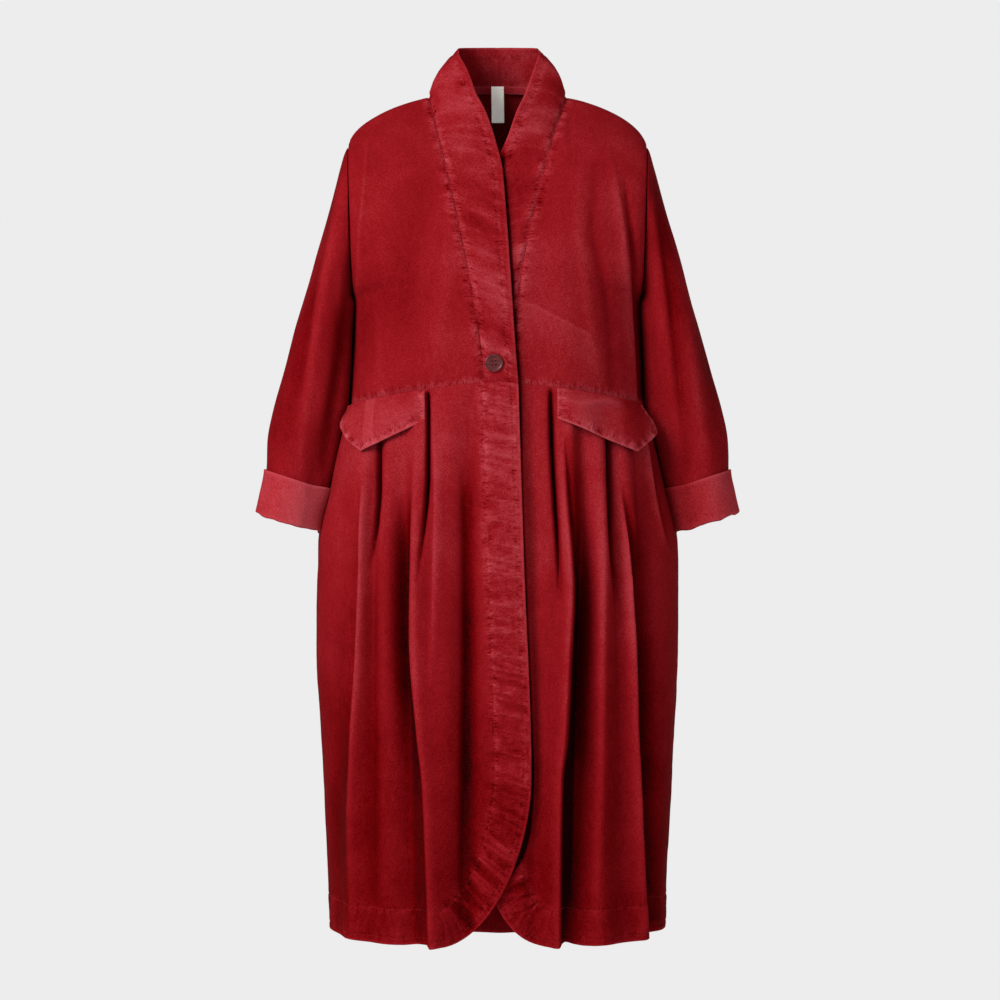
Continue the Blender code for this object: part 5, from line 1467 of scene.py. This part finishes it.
def make_button(button, cloth, horn, thread):
    """A dished button with four thread holes, sewn on with two bars of thread."""
    up = 1.0 - BUTTON_Z / WAIST_Z
    seat = bodice_front_row(RIGHT, up, xs=np.array([-BUTTON_X]))[0]
    back = float(seat[1]) - cloth.thickness * 0.575 - BAND_STANDS - BUTTON_SEAT
    radius, thick = BUTTON_RADIUS, button.thickness
    quarter_turn = np.linspace(0.0, math.pi / 2.0, 6)
    heel = [(radius - 0.0014 * (1.0 - math.sin(a)), -0.0014 * (1.0 - math.cos(a))) for a in quarter_turn]
    rim = [(radius - 0.0009 * (1.0 - math.cos(a)), -thick + 0.0009 * (1.0 - math.sin(a)))
           for a in quarter_turn]
    dish = [(radius - 0.0009 - button.rim * share, -thick + button.dish * ease(0.25, 1.0, share))
            for share in np.linspace(0.2, 1.0, 7)]
    profile = [(0.0, 0.0), *heel, *rim, *dish, (0.0, -thick + button.dish * 1.15)]
    points, faces = turned(profile, 72, (BUTTON_X, back, BUTTON_Z))
    blank = mesh_object("button_blank", points, faces, horn)
    bars = []
    for across in (-BUTTON_HOLE_STEP, BUTTON_HOLE_STEP):
        for high in (-BUTTON_HOLE_STEP, BUTTON_HOLE_STEP):
            turn = math.radians(8.0)
            x = across * math.cos(turn) - high * math.sin(turn)
            z = across * math.sin(turn) + high * math.cos(turn)
            bars.append((BUTTON_X + x, back, BUTTON_Z + z))
    cutters = []
    for number, centre in enumerate(bars):
        bar = [(0.0, 0.002), (BUTTON_HOLE_RADIUS, 0.002), (BUTTON_HOLE_RADIUS, -thick - 0.002),
               (0.0, -thick - 0.002)]
        cutters.append(mesh_object(f"hole_{number}", *turned(bar, 20, centre), horn))
        cut = blank.modifiers.new("hole", "BOOLEAN")
        cut.operation, cut.solver, cut.object = "DIFFERENCE", "EXACT", cutters[-1]
    made = as_plain_mesh(blank, "button_horn")
    for old in cutters:
        bpy.data.objects.remove(old, do_unlink=True)
    face = back - thick + button.dish
    threads = []
    for first, second in ((0, 1), (2, 3)):
        (x0, _, z0), (x1, _, z1) = bars[first], bars[second]
        bow = np.linspace(0.0, 1.0, 9)
        y = face + 0.0016 - 0.0017 * np.sin(bow * math.pi) ** 0.5
        threads.append(np.stack((x0 + (x1 - x0) * bow, y, z0 + (z1 - z0) * bow), axis=-1))
    return made, [tube(f"button_thread_{number}", path, 0.00030, 8, thread)
                  for number, path in enumerate(threads)]


def tube(name, path, radius, count, material):
    """A round closed cord along a path in the XZ plane's neighbourhood."""
    ahead = unit(np.gradient(path, axis=0))
    side = unit(np.cross(ahead, (0.0, 1.0, 0.0)))
    up = np.cross(side, ahead)
    angle = np.linspace(0.0, 2.0 * math.pi, count, endpoint=False)
    rings = [at + radius * (np.outer(np.cos(angle), s) + np.outer(np.sin(angle), u))
             for at, s, u in zip(path, side, up)]
    points = np.concatenate(rings)
    faces = []
    for ring in range(len(path) - 1):
        for step in range(count):
            after = (step + 1) % count
            faces.append([ring * count + step, ring * count + after, (ring + 1) * count + after,
                          (ring + 1) * count + step])
    faces.append(list(reversed(range(count))))
    faces.append([(len(path) - 1) * count + step for step in range(count)])
    return mesh_object(name, points, faces, material)


def as_plain_mesh(source, name):
    """The source with its modifiers worked out, as a plain mesh object; the source is removed."""
    evaluated = source.evaluated_get(bpy.context.evaluated_depsgraph_get())
    mesh = bpy.data.meshes.new_from_object(evaluated)
    mesh.name = name
    made = bpy.data.objects.new(name, mesh)
    bpy.context.scene.collection.objects.link(made)
    bpy.data.objects.remove(source, do_unlink=True)
    return made


# ---- stitches: one small bead of thread, repeated along paths ----
def add_node(tree, kind, inputs=(), **settings):
    """A node with its settings, and with values or links on its inputs, by name or number."""
    made = tree.nodes.new(kind)
    for name, value in settings.items():
        setattr(made, name, value)
    for name, value in dict(inputs).items():
        if isinstance(value, bpy.types.NodeSocket):
            tree.links.new(value, made.inputs[name])
        else:
            made.inputs[name].default_value = value
    return made


def stitch_tree():
    """Beads of thread at even steps along the edges of a mesh, each lying along its path."""
    tree = bpy.data.node_groups.new("Running stitch", "GeometryNodeTree")
    face = tree.interface
    face.new_socket("Path", in_out="INPUT", socket_type="NodeSocketGeometry")
    for name, kind in (("Spacing", "Float"), ("Stitch Length", "Float"), ("Thread Radius", "Float"),
                       ("Seed", "Int"), ("Thread", "Material")):
        face.new_socket(name, in_out="INPUT", socket_type="NodeSocket" + kind)
    face.new_socket("Stitches", in_out="OUTPUT", socket_type="NodeSocketGeometry")
    given = add_node(tree, "NodeGroupInput").outputs
    curve = add_node(tree, "GeometryNodeMeshToCurve", {"Mesh": given["Path"]})
    even = add_node(tree, "GeometryNodeResampleCurve",
                    {"Curve": curve.outputs[0], "Length": given["Spacing"]}, mode="LENGTH")
    half = add_node(tree, "ShaderNodeMath", {0: given["Stitch Length"], 1: 0.5}, operation="MULTIPLY")
    shape = add_node(tree, "ShaderNodeCombineXYZ",
                     {0: given["Thread Radius"], 1: given["Thread Radius"], 2: half.outputs[0]})
    bead = add_node(tree, "GeometryNodeMeshUVSphere", {"Segments": 6, "Rings": 4, "Radius": 1.0})
    thread = add_node(tree, "GeometryNodeTransform",
                      {"Geometry": bead.outputs["Mesh"], "Scale": shape.outputs[0]})
    tangent = add_node(tree, "GeometryNodeInputTangent")
    turned_along = add_node(tree, "FunctionNodeAlignRotationToVector", {"Vector": tangent.outputs[0]},
                            axis="Z")
    uneven = add_node(tree, "FunctionNodeRandomValue", {"Seed": given["Seed"]}, data_type="FLOAT")
    uneven.inputs[2].default_value, uneven.inputs[3].default_value = 0.82, 1.12
    placed = add_node(tree, "GeometryNodeInstanceOnPoints", {
        "Points": even.outputs[0], "Instance": thread.outputs[0],
        "Rotation": turned_along.outputs[0], "Scale": uneven.outputs[1]})
    real = add_node(tree, "GeometryNodeRealizeInstances", {"Geometry": placed.outputs[0]})
    painted = add_node(tree, "GeometryNodeSetMaterial",
                       {"Geometry": real.outputs[0], "Material": given["Thread"]})
    add_node(tree, "NodeGroupOutput", {"Stitches": painted.outputs[0]})
    return tree


def make_stitches(piece, stitching, thread, tree):
    """Every row of stitches of one piece, as one plain mesh."""
    points, edges = [], []
    for path in STITCH_PATHS[piece]:
        first = len(points)
        points.extend(path.tolist())
        edges.extend((first + step, first + step + 1) for step in range(len(path) - 1))
    mesh = bpy.data.meshes.new(piece + "_rows")
    mesh.from_pydata(points, edges, [])
    rows = bpy.data.objects.new(piece + "_rows", mesh)
    bpy.context.scene.collection.objects.link(rows)
    beads = rows.modifiers.new("stitches", "NODES")
    beads.node_group = tree
    values = {"Spacing": stitching.spacing, "Stitch Length": stitching.length,
              "Thread Radius": stitching.radius,
              "Seed": stitching.seed, "Thread": thread}
    for item in tree.interface.items_tree:
        if item.in_out == "INPUT" and item.name in values:
            beads[item.identifier] = values[item.name]
    made = as_plain_mesh(rows, piece + "_stitches")
    made.data.shade_smooth()
    return made


# ---- materials ----
def linear(code):
    """An sRGB hex colour as linear red, green, blue and 1."""
    parts = [int(code[at:at + 2], 16) / 255.0 for at in (1, 3, 5)]
    return tuple(p / 12.92 if p <= 0.04045 else ((p + 0.055) / 1.055) ** 2.4 for p in parts) + (1.0,)


def new_material(name):
    made = bpy.data.materials.new(name)
    made.use_nodes = True
    tree = made.node_tree
    tree.nodes.clear()
    shader = add_node(tree, "ShaderNodeBsdfPrincipled")
    add_node(tree, "ShaderNodeOutputMaterial", {"Surface": shader.outputs[0]})
    return made, tree, shader


def noise(tree, place, scale, detail=2.0, rough=0.5):
    """A noise texture's value, scale in features to the metre."""
    made = add_node(tree, "ShaderNodeTexNoise",
                    {"Vector": place, "Scale": scale, "Detail": detail, "Roughness": rough})
    return made.outputs[0]


def plus(tree, base, value, amount, middle=0.5):
    """base + (value - middle) * amount, for stacking patterns on one another."""
    scaled = add_node(tree, "ShaderNodeMath", {0: value, 1: amount, 2: -middle * amount},
                      operation="MULTIPLY_ADD")
    return add_node(tree, "ShaderNodeMath", {0: base, 1: scaled.outputs[0]}, operation="ADD").outputs[0]


def pile(name, tones, start, mottle, grain_size, sheen, grain_bump):
    """Cloth with a brushed pile: its tone wanders in patches where the nap lies one way or the
    other, in streaks along the pile, and in a fine grain of single tufts. The tufts are about
    0.4 mm across; they are drawn coarser so that they still show from some metres away."""
    made, tree, shader = new_material(name)
    place = add_node(tree, "ShaderNodeTexCoord").outputs["Object"]
    cloth = add_node(tree, "ShaderNodeUVMap", uv_map="cloth").outputs[0]
    streak_place = add_node(tree, "ShaderNodeMapping",
                            {"Vector": cloth, "Scale": (150.0, 62.0, 1.0)}).outputs[0]
    sewn = add_node(tree, "ShaderNodeAttribute", attribute_name="sewn").outputs["Vector"]
    sewn_place = add_node(tree, "ShaderNodeMapping",
                          {"Vector": sewn, "Scale": (230.0, 75.0, 0.0)}).outputs[0]
    strength = add_node(tree, "ShaderNodeSeparateXYZ", {0: sewn}).outputs["Z"]
    nap = add_node(tree, "ShaderNodeAttribute", attribute_name="nap").outputs["Fac"]
    facing = add_node(tree, "ShaderNodeLayerWeight", {"Blend": 0.42}).outputs["Facing"]
    grain = noise(tree, place, 1.0 / grain_size, 1.5, 0.6)
    tone = plus(tree, noise(tree, place, 7.0, 3.0, 0.55), noise(tree, place, 26.0, 3.0, 0.6), mottle * 0.8)
    tone = add_node(tree, "ShaderNodeMath", {0: tone, 1: mottle, 2: start - mottle * 0.5},
                    operation="MULTIPLY_ADD").outputs[0]
    tone = plus(tree, tone, noise(tree, streak_place, 1.0, 2.0), mottle * 0.30)
    crossed = add_node(tree, "ShaderNodeMath", {0: noise(tree, sewn_place, 1.0, 2.5, 0.6), 1: 0.5},
                       operation="SUBTRACT").outputs[0]
    crossed = add_node(tree, "ShaderNodeMath", {0: crossed}, operation="ABSOLUTE").outputs[0]
    crests = add_node(tree, "ShaderNodeMath", {0: crossed, 1: -1.0, 2: 0.085},
                      operation="MULTIPLY_ADD").outputs[0]
    dents = add_node(tree, "ShaderNodeMath", {0: crests, 1: strength}, operation="MULTIPLY").outputs[0]
    # painted highlights on the crests of the fine wrinkles by the stitches, painted shade in their dents
    tone = plus(tree, tone, dents, 1.7, 0.0)
    tone = plus(tree, tone, grain, 0.42)
    # the tone field: painted shade and painted highlights, with the nap's own tone and wear
    tone = plus(tree, tone, nap, 0.55, 0.0)
    # painted shade: the pile is drawn darker where it is seen edge-on
    tone = plus(tree, tone, facing, -0.10, 0.25)
    ramp = add_node(tree, "ShaderNodeValToRGB", {0: tone})
    ramp.color_ramp.elements[0].color = linear(tones[0])
    ramp.color_ramp.elements[1].color = linear(tones[-1])
    for number, code in enumerate(tones[1:-1], start=1):
        ramp.color_ramp.elements.new(number / (len(tones) - 1)).color = linear(code)
    rough = plus(tree, grain, dents, 9.0, 0.0)
    bump = add_node(tree, "ShaderNodeBump", {"Height": rough, "Distance": grain_bump, "Strength": 0.6})
    tree.links.new(ramp.outputs[0], shader.inputs["Base Color"])
    tree.links.new(bump.outputs[0], shader.inputs["Normal"])
    shader.inputs["Roughness"].default_value = 0.82
    shader.inputs["Specular IOR Level"].default_value = 0.02
    shader.inputs["Sheen Weight"].default_value = sheen
    shader.inputs["Sheen Roughness"].default_value = 0.38
    shader.inputs["Sheen Tint"].default_value = linear("#E0484F")
    return made


def velvet(cloth):
    """Cut cotton velvet: nearly black red down into the pile, bright where the nap is brushed up; the same
    range draws the painted shade in hollows and the painted highlights on crests.
    """
    return bpy.data.materials.get("brushed red velvet") or pile(
        "brushed red velvet", ("#1A0001", "#620003", "#88131A", "#A4363E", "#BE565E"),
        cloth.tone, cloth.mottle, 0.0016, cloth.sheen, 0.0005)


def wrong_side(cloth):
    """The velvet's back: short and even, so paler and with less play of light."""
    return bpy.data.materials.get("unbrushed back of the velvet") or pile(
        "unbrushed back of the velvet", ("#2A0002", "#70040A", "#98232A", "#AE4048", "#C25C63"),
        cloth.tone + 0.05, cloth.mottle * 0.45, 0.0022, cloth.sheen * 0.7, 0.0003)


def ribbon():
    """Cream satin ribbon, a fine weave with a soft lengthwise shine, with a faint glow of its own: painted
    light that brightens it in the shade of the neck.
    The weave is drawn at 1 mm in place of 0.2 mm so that it shows."""
    made, tree, shader = new_material("cream satin ribbon")
    cloth = add_node(tree, "ShaderNodeUVMap", uv_map="cloth").outputs[0]
    weave = add_node(tree, "ShaderNodeTexWave", {"Vector": cloth, "Scale": 320.0, "Distortion": 0.6},
                     bands_direction="Y")
    mix = add_node(tree, "ShaderNodeMix", {"Factor": weave.outputs["Fac"]}, data_type="RGBA")
    mix.inputs["A"].default_value, mix.inputs["B"].default_value = linear("#F3EFDF"), linear("#FFFEF8")
    bump = add_node(tree, "ShaderNodeBump",
                    {"Height": weave.outputs["Fac"], "Distance": 0.0002, "Strength": 0.5})
    tree.links.new(mix.outputs["Result"], shader.inputs["Base Color"])
    tree.links.new(bump.outputs[0], shader.inputs["Normal"])
    shader.inputs["Roughness"].default_value = 0.42
    # painted light: the ribbon glows faintly though it is no lamp
    shader.inputs["Emission Color"].default_value = linear("#FFFEF8")
    shader.inputs["Emission Strength"].default_value = 0.16
    return made


def horn():
    """Polished dark red button horn, faintly clouded, with fine scratches in its gloss."""
    made, tree, shader = new_material("dark red button horn")
    place = add_node(tree, "ShaderNodeTexCoord").outputs["Object"]
    cloud = noise(tree, place, 260.0, 3.0, 0.55)
    ramp = add_node(tree, "ShaderNodeValToRGB", {0: cloud})
    ramp.color_ramp.elements[0].color = linear("#380C0D")
    ramp.color_ramp.elements[1].color = linear("#702426")
    ramp.color_ramp.elements[0].position, ramp.color_ramp.elements[1].position = 0.3, 0.72
    gloss = add_node(tree, "ShaderNodeMapRange", {0: noise(tree, place, 2200.0, 2.0), 3: 0.26, 4: 0.40})
    tree.links.new(ramp.outputs[0], shader.inputs["Base Color"])
    tree.links.new(gloss.outputs[0], shader.inputs["Roughness"])
    shader.inputs["IOR"].default_value = 1.55
    shader.inputs["Specular IOR Level"].default_value = 0.35
    return made


def sewing_thread(stitching):
    """Red polyester sewing thread, twisted, which catches more light than the pile round it."""
    found = bpy.data.materials.get("red sewing thread")
    if found:
        return found
    made, tree, shader = new_material("red sewing thread")
    place = add_node(tree, "ShaderNodeTexCoord").outputs["Object"]
    mix = add_node(tree, "ShaderNodeMix", {"Factor": noise(tree, place, 900.0, 1.0)}, data_type="RGBA")
    mix.inputs["A"].default_value = tuple(c * 0.72 for c in stitching.colour) + (1.0,)
    mix.inputs["B"].default_value = tuple(stitching.colour) + (1.0,)
    tree.links.new(mix.outputs["Result"], shader.inputs["Base Color"])
    shader.inputs["Roughness"].default_value = 0.6
    shader.inputs["Specular IOR Level"].default_value = 0.12
    return made


def paper():
    """Matt pale studio paper, with the slightest unevenness."""
    made, tree, shader = new_material("pale studio paper")
    place = add_node(tree, "ShaderNodeTexCoord").outputs["Object"]
    mix = add_node(tree, "ShaderNodeMix", {"Factor": noise(tree, place, 40.0, 3.0)}, data_type="RGBA")
    mix.inputs["A"].default_value, mix.inputs["B"].default_value = linear("#E4E4E4"), linear("#ECECEC")
    tree.links.new(mix.outputs["Result"], shader.inputs["Base Color"])
    shader.inputs["Roughness"].default_value = 0.9
    return made


# ---- the record of a piece's cut: flat width and length in metres, and area where it is no rectangle; no cuts are given ----
Cut = namedtuple("Cut", "width length area held rests_on")


def finish_cloth(made, node, slot):
    finished(made, slot, node)


# ---- settings ----
class OvercoatCloth(bpy.types.PropertyGroup):
    thickness: bpy.props.FloatProperty(
        name="Cloth thickness", description="Thickness of one layer of velvet with its pile",
        default=0.0016, min=0.0008, max=0.003, subtype="DISTANCE", unit="LENGTH")
    tone: bpy.props.FloatProperty(
        name="Tone", description="Where the velvet's middle tone lies between darkest and palest",
        default=0.47, min=0.0, max=1.0, subtype="FACTOR")
    mottle: bpy.props.FloatProperty(
        name="Mottle", description="How much the lie of the nap changes the tone",
        default=0.34, min=0.0, max=1.0, subtype="FACTOR")
    sheen: bpy.props.FloatProperty(
        name="Sheen", description="Strength of the light that the pile throws back at its edges",
        default=0.02, min=0.0, max=1.0, subtype="FACTOR")


class OvercoatStitching(bpy.types.PropertyGroup):
    spacing: bpy.props.FloatProperty(
        name="Spacing", description="Distance from one stitch to the next",
        default=0.0031, min=0.001, max=0.01, subtype="DISTANCE", unit="LENGTH")
    length: bpy.props.FloatProperty(
        name="Stitch length", description="Length of thread that shows in each stitch",
        default=0.0015, min=0.0005, max=0.009, subtype="DISTANCE", unit="LENGTH")
    radius: bpy.props.FloatProperty(
        name="Thread radius", description="Half the thread's thickness, with the pile round it",
        default=0.00030, min=0.0001, max=0.001, subtype="DISTANCE", unit="LENGTH")
    seed: bpy.props.IntProperty(
        name="Seed", description="Picks which stitches are longer or shorter", default=7, min=0)
    colour: bpy.props.FloatVectorProperty(
        name="Thread colour", description="Colour of the sewing thread",
        default=linear("#A4262D")[:3], min=0.0, max=1.0, size=3, subtype="COLOR")


class OvercoatButton(bpy.types.PropertyGroup):
    thickness: bpy.props.FloatProperty(
        name="Thickness", description="Thickness of the button at its rim",
        default=0.0034, min=0.002, max=0.006, subtype="DISTANCE", unit="LENGTH")
    rim: bpy.props.FloatProperty(
        name="Rim", description="Width of the slope inside the rim",
        default=0.0022, min=0.0005, max=0.005, subtype="DISTANCE", unit="LENGTH")
    dish: bpy.props.FloatProperty(
        name="Dish", description="Depth of the button's face below its rim",
        default=0.0010, min=0.0, max=0.0025, subtype="DISTANCE", unit="LENGTH")


class OvercoatStudio(bpy.types.PropertyGroup):
    key: bpy.props.FloatProperty(
        name="Key light", description="Power of the large soft light, from the upper left of the camera",
        default=152.0, min=0.0, subtype="POWER", unit="POWER")
    fill: bpy.props.FloatProperty(
        name="Fill light", description="Power of the soft light from the right of the camera",
        default=22.0, min=0.0, subtype="POWER", unit="POWER")
    surround: bpy.props.FloatProperty(
        name="Surround", description="Brightness of the pale room round the coat",
        default=0.42, min=0.0, max=4.0)
    backdrop: bpy.props.FloatProperty(
        name="Backdrop", description="Brightness of the backdrop as the camera sees it",
        default=0.845, min=0.0, max=2.0)


# ---- operators ----
class OVERCOAT_OT_skirt(bpy.types.Operator):
    """Make the pleated skirt: two fronts and the back"""
    bl_idname = "overcoat.skirt"
    bl_label = "Skirt"

    def execute(self, context):
        cloth = context.scene.overcoat_cloth
        for side in (RIGHT, LEFT):
            finish_cloth(make_skirt_front(side, cloth, velvet(cloth)), "skirt_front_" + side_word(side),
                         "red velvet")
        finish_cloth(make_skirt_back(cloth, velvet(cloth)), "skirt_back", "red velvet")
        return {"FINISHED"}


class OVERCOAT_OT_bodice(bpy.types.Operator):
    """Make the bodice: two fronts and the back"""
    bl_idname = "overcoat.bodice"
    bl_label = "Bodice"

    def execute(self, context):
        cloth = context.scene.overcoat_cloth
        for side in (RIGHT, LEFT):
            finish_cloth(make_bodice_front(side, cloth, velvet(cloth)), "bodice_front_" + side_word(side),
                         "red velvet")
        finish_cloth(make_bodice_back(cloth, velvet(cloth)), "bodice_back", "red velvet")
        return {"FINISHED"}


class OVERCOAT_OT_bands(bpy.types.Operator):
    """Make the collar bands, front band and stand collar in one"""
    bl_idname = "overcoat.bands"
    bl_label = "Collar bands"

    def execute(self, context):
        cloth = context.scene.overcoat_cloth
        for side in (RIGHT, LEFT):
            finish_cloth(make_band(side, cloth, velvet(cloth)), "collar_band_" + side_word(side),
                         "red velvet")
        return {"FINISHED"}


class OVERCOAT_OT_sleeves(bpy.types.Operator):
    """Make the sleeves"""
    bl_idname = "overcoat.sleeves"
    bl_label = "Sleeves"

    def execute(self, context):
        cloth = context.scene.overcoat_cloth
        for side in (RIGHT, LEFT):
            finish_cloth(make_sleeve(side, cloth, velvet(cloth)), "sleeve_" + side_word(side), "red velvet")
        return {"FINISHED"}


class OVERCOAT_OT_cuffs(bpy.types.Operator):
    """Make the turned-up cuffs"""
    bl_idname = "overcoat.cuffs"
    bl_label = "Cuffs"

    def execute(self, context):
        cloth = context.scene.overcoat_cloth
        for side in (RIGHT, LEFT):
            finish_cloth(make_cuff(side, cloth, wrong_side(cloth)), "cuff_" + side_word(side),
                         "velvet wrong side")
        return {"FINISHED"}


class OVERCOAT_OT_flaps(bpy.types.Operator):
    """Make the pointed pocket flaps"""
    bl_idname = "overcoat.flaps"
    bl_label = "Pocket flaps"

    def execute(self, context):
        cloth = context.scene.overcoat_cloth
        for side in (RIGHT, LEFT):
            finish_cloth(make_flap(side, cloth, velvet(cloth)), "pocket_flap_" + side_word(side),
                         "red velvet")
        return {"FINISHED"}


class OVERCOAT_OT_neck(bpy.types.Operator):
    """Make the neck tape and the blank label that hangs from it"""
    bl_idname = "overcoat.neck"
    bl_label = "Neck tape and label"

    def execute(self, context):
        cloth = context.scene.overcoat_cloth
        finish_cloth(make_neck_tape(velvet(cloth)), "neck_tape", "red velvet")
        finish_cloth(make_label(ribbon()), "label", "cream ribbon")
        return {"FINISHED"}


class OVERCOAT_OT_button(bpy.types.Operator):
    """Make the button and the thread that holds it"""
    bl_idname = "overcoat.button"
    bl_label = "Button"

    def execute(self, context):
        scene = context.scene
        made, threads = make_button(scene.overcoat_button, scene.overcoat_cloth, horn(),
                                    sewing_thread(scene.overcoat_stitching))
        made.data.shade_smooth()
        made.data.set_sharp_from_angle(angle=math.radians(40.0))
        finished(made, "dark red button", "button")
        for thread in threads:
            finished(thread, "dark red button")
        return {"FINISHED"}


class OVERCOAT_OT_stitching(bpy.types.Operator):
    """Sew the rows of stitches that show on the finished pieces"""
    bl_idname = "overcoat.stitching"
    bl_label = "Stitching"

    def execute(self, context):
        stitching = context.scene.overcoat_stitching
        tree = stitch_tree()
        for piece in STITCH_PATHS:
            finished(make_stitches(piece, stitching, sewing_thread(stitching), tree), "red velvet")
        return {"FINISHED"}


class OVERCOAT_OT_studio(bpy.types.Operator):
    """Set up the pale studio, its lights and the camera"""
    bl_idname = "overcoat.studio"
    bl_label = "Studio"

    def execute(self, context):
        make_studio(context.scene, context.scene.overcoat_studio)
        return {"FINISHED"}


class OVERCOAT_PT_panel(bpy.types.Panel):
    bl_label = "Velvet overcoat"
    bl_idname = "OVERCOAT_PT_panel"
    bl_space_type = "VIEW_3D"
    bl_region_type = "UI"
    bl_category = "Overcoat"

    def draw(self, context):
        for group in SETTINGS:
            box = self.layout.box()
            settings = getattr(context.scene, group)
            for name in settings.bl_rna.properties.keys():
                if name not in ("name", "rna_type"):
                    box.prop(settings, name)
        for operator in OPERATORS:
            self.layout.operator(operator.bl_idname)


# ---- studio ----
def make_studio(scene, studio):
    world = bpy.data.worlds.new("pale studio")
    world.use_nodes = True
    tree = world.node_tree
    tree.nodes.clear()
    seen = add_node(tree, "ShaderNodeLightPath").outputs["Is Camera Ray"]
    strength = add_node(tree, "ShaderNodeMapRange", {0: seen, 3: studio.surround, 4: studio.backdrop})
    sky = add_node(tree, "ShaderNodeBackground",
                   {"Color": (1.0, 1.0, 1.0, 1.0), "Strength": strength.outputs[0]})
    add_node(tree, "ShaderNodeOutputWorld", {"Surface": sky.outputs[0]})
    scene.world = world
    count = 96
    rim = [(1.5 * math.cos(a), 1.5 * math.sin(a), FLOOR_Z)
           for a in np.linspace(0.0, 2.0 * math.pi, count, endpoint=False)]
    floor = mesh_object("studio_floor", np.array(rim), [list(range(count))], paper())
    floor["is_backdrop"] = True
    for name, place, size, power in (("key_light", KEY_PLACE, 2.2, studio.key),
                                     ("fill_light", FILL_PLACE, 2.4, studio.fill)):
        lamp = bpy.data.lights.new(name, "AREA")
        lamp.shape, lamp.size, lamp.energy = "DISK", size, power
        holder = bpy.data.objects.new(name, lamp)
        holder.location = place
        holder.rotation_euler = (Vector(LOOK_AT) - Vector(place)).to_track_quat("-Z", "Y").to_euler()
        holder.visible_camera = False
        scene.collection.objects.link(holder)
        holder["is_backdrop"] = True
    lens = bpy.data.cameras.new("studio_camera")
    lens.sensor_width, lens.lens = 36.0, 36.0 * CAMERA_AWAY / FRAME_WIDE
    camera = bpy.data.objects.new("studio_camera", lens)
    camera.location = (CAMERA_X, -CAMERA_AWAY, CAMERA_Z)
    camera.rotation_euler = (math.pi / 2.0, 0.0, 0.0)
    scene.collection.objects.link(camera)
    scene.camera = camera
    scene.view_settings.view_transform = "Standard"


SETTINGS = {
    "overcoat_cloth": OvercoatCloth,
    "overcoat_stitching": OvercoatStitching,
    "overcoat_button": OvercoatButton,
    "overcoat_studio": OvercoatStudio,
}
OPERATORS = (OVERCOAT_OT_skirt, OVERCOAT_OT_bodice, OVERCOAT_OT_bands, OVERCOAT_OT_sleeves,
             OVERCOAT_OT_cuffs,
             OVERCOAT_OT_flaps, OVERCOAT_OT_neck, OVERCOAT_OT_button, OVERCOAT_OT_stitching,
             OVERCOAT_OT_studio)


def register():
    for group in (*SETTINGS.values(), *OPERATORS, OVERCOAT_PT_panel):
        bpy.utils.register_class(group)
    for name, group in SETTINGS.items():
        setattr(bpy.types.Scene, name, bpy.props.PointerProperty(type=group))


def unregister():
    for name in SETTINGS:
        delattr(bpy.types.Scene, name)
    for group in (OVERCOAT_PT_panel, *reversed(OPERATORS), *SETTINGS.values()):
        bpy.utils.unregister_class(group)


def corners():
    return [list(corner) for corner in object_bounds()]


def main():
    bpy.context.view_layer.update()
    register()
    for operator in OPERATORS:
        getattr(bpy.ops.overcoat, operator.bl_idname.split(".")[1])()


if __name__ == "__main__":
    main()
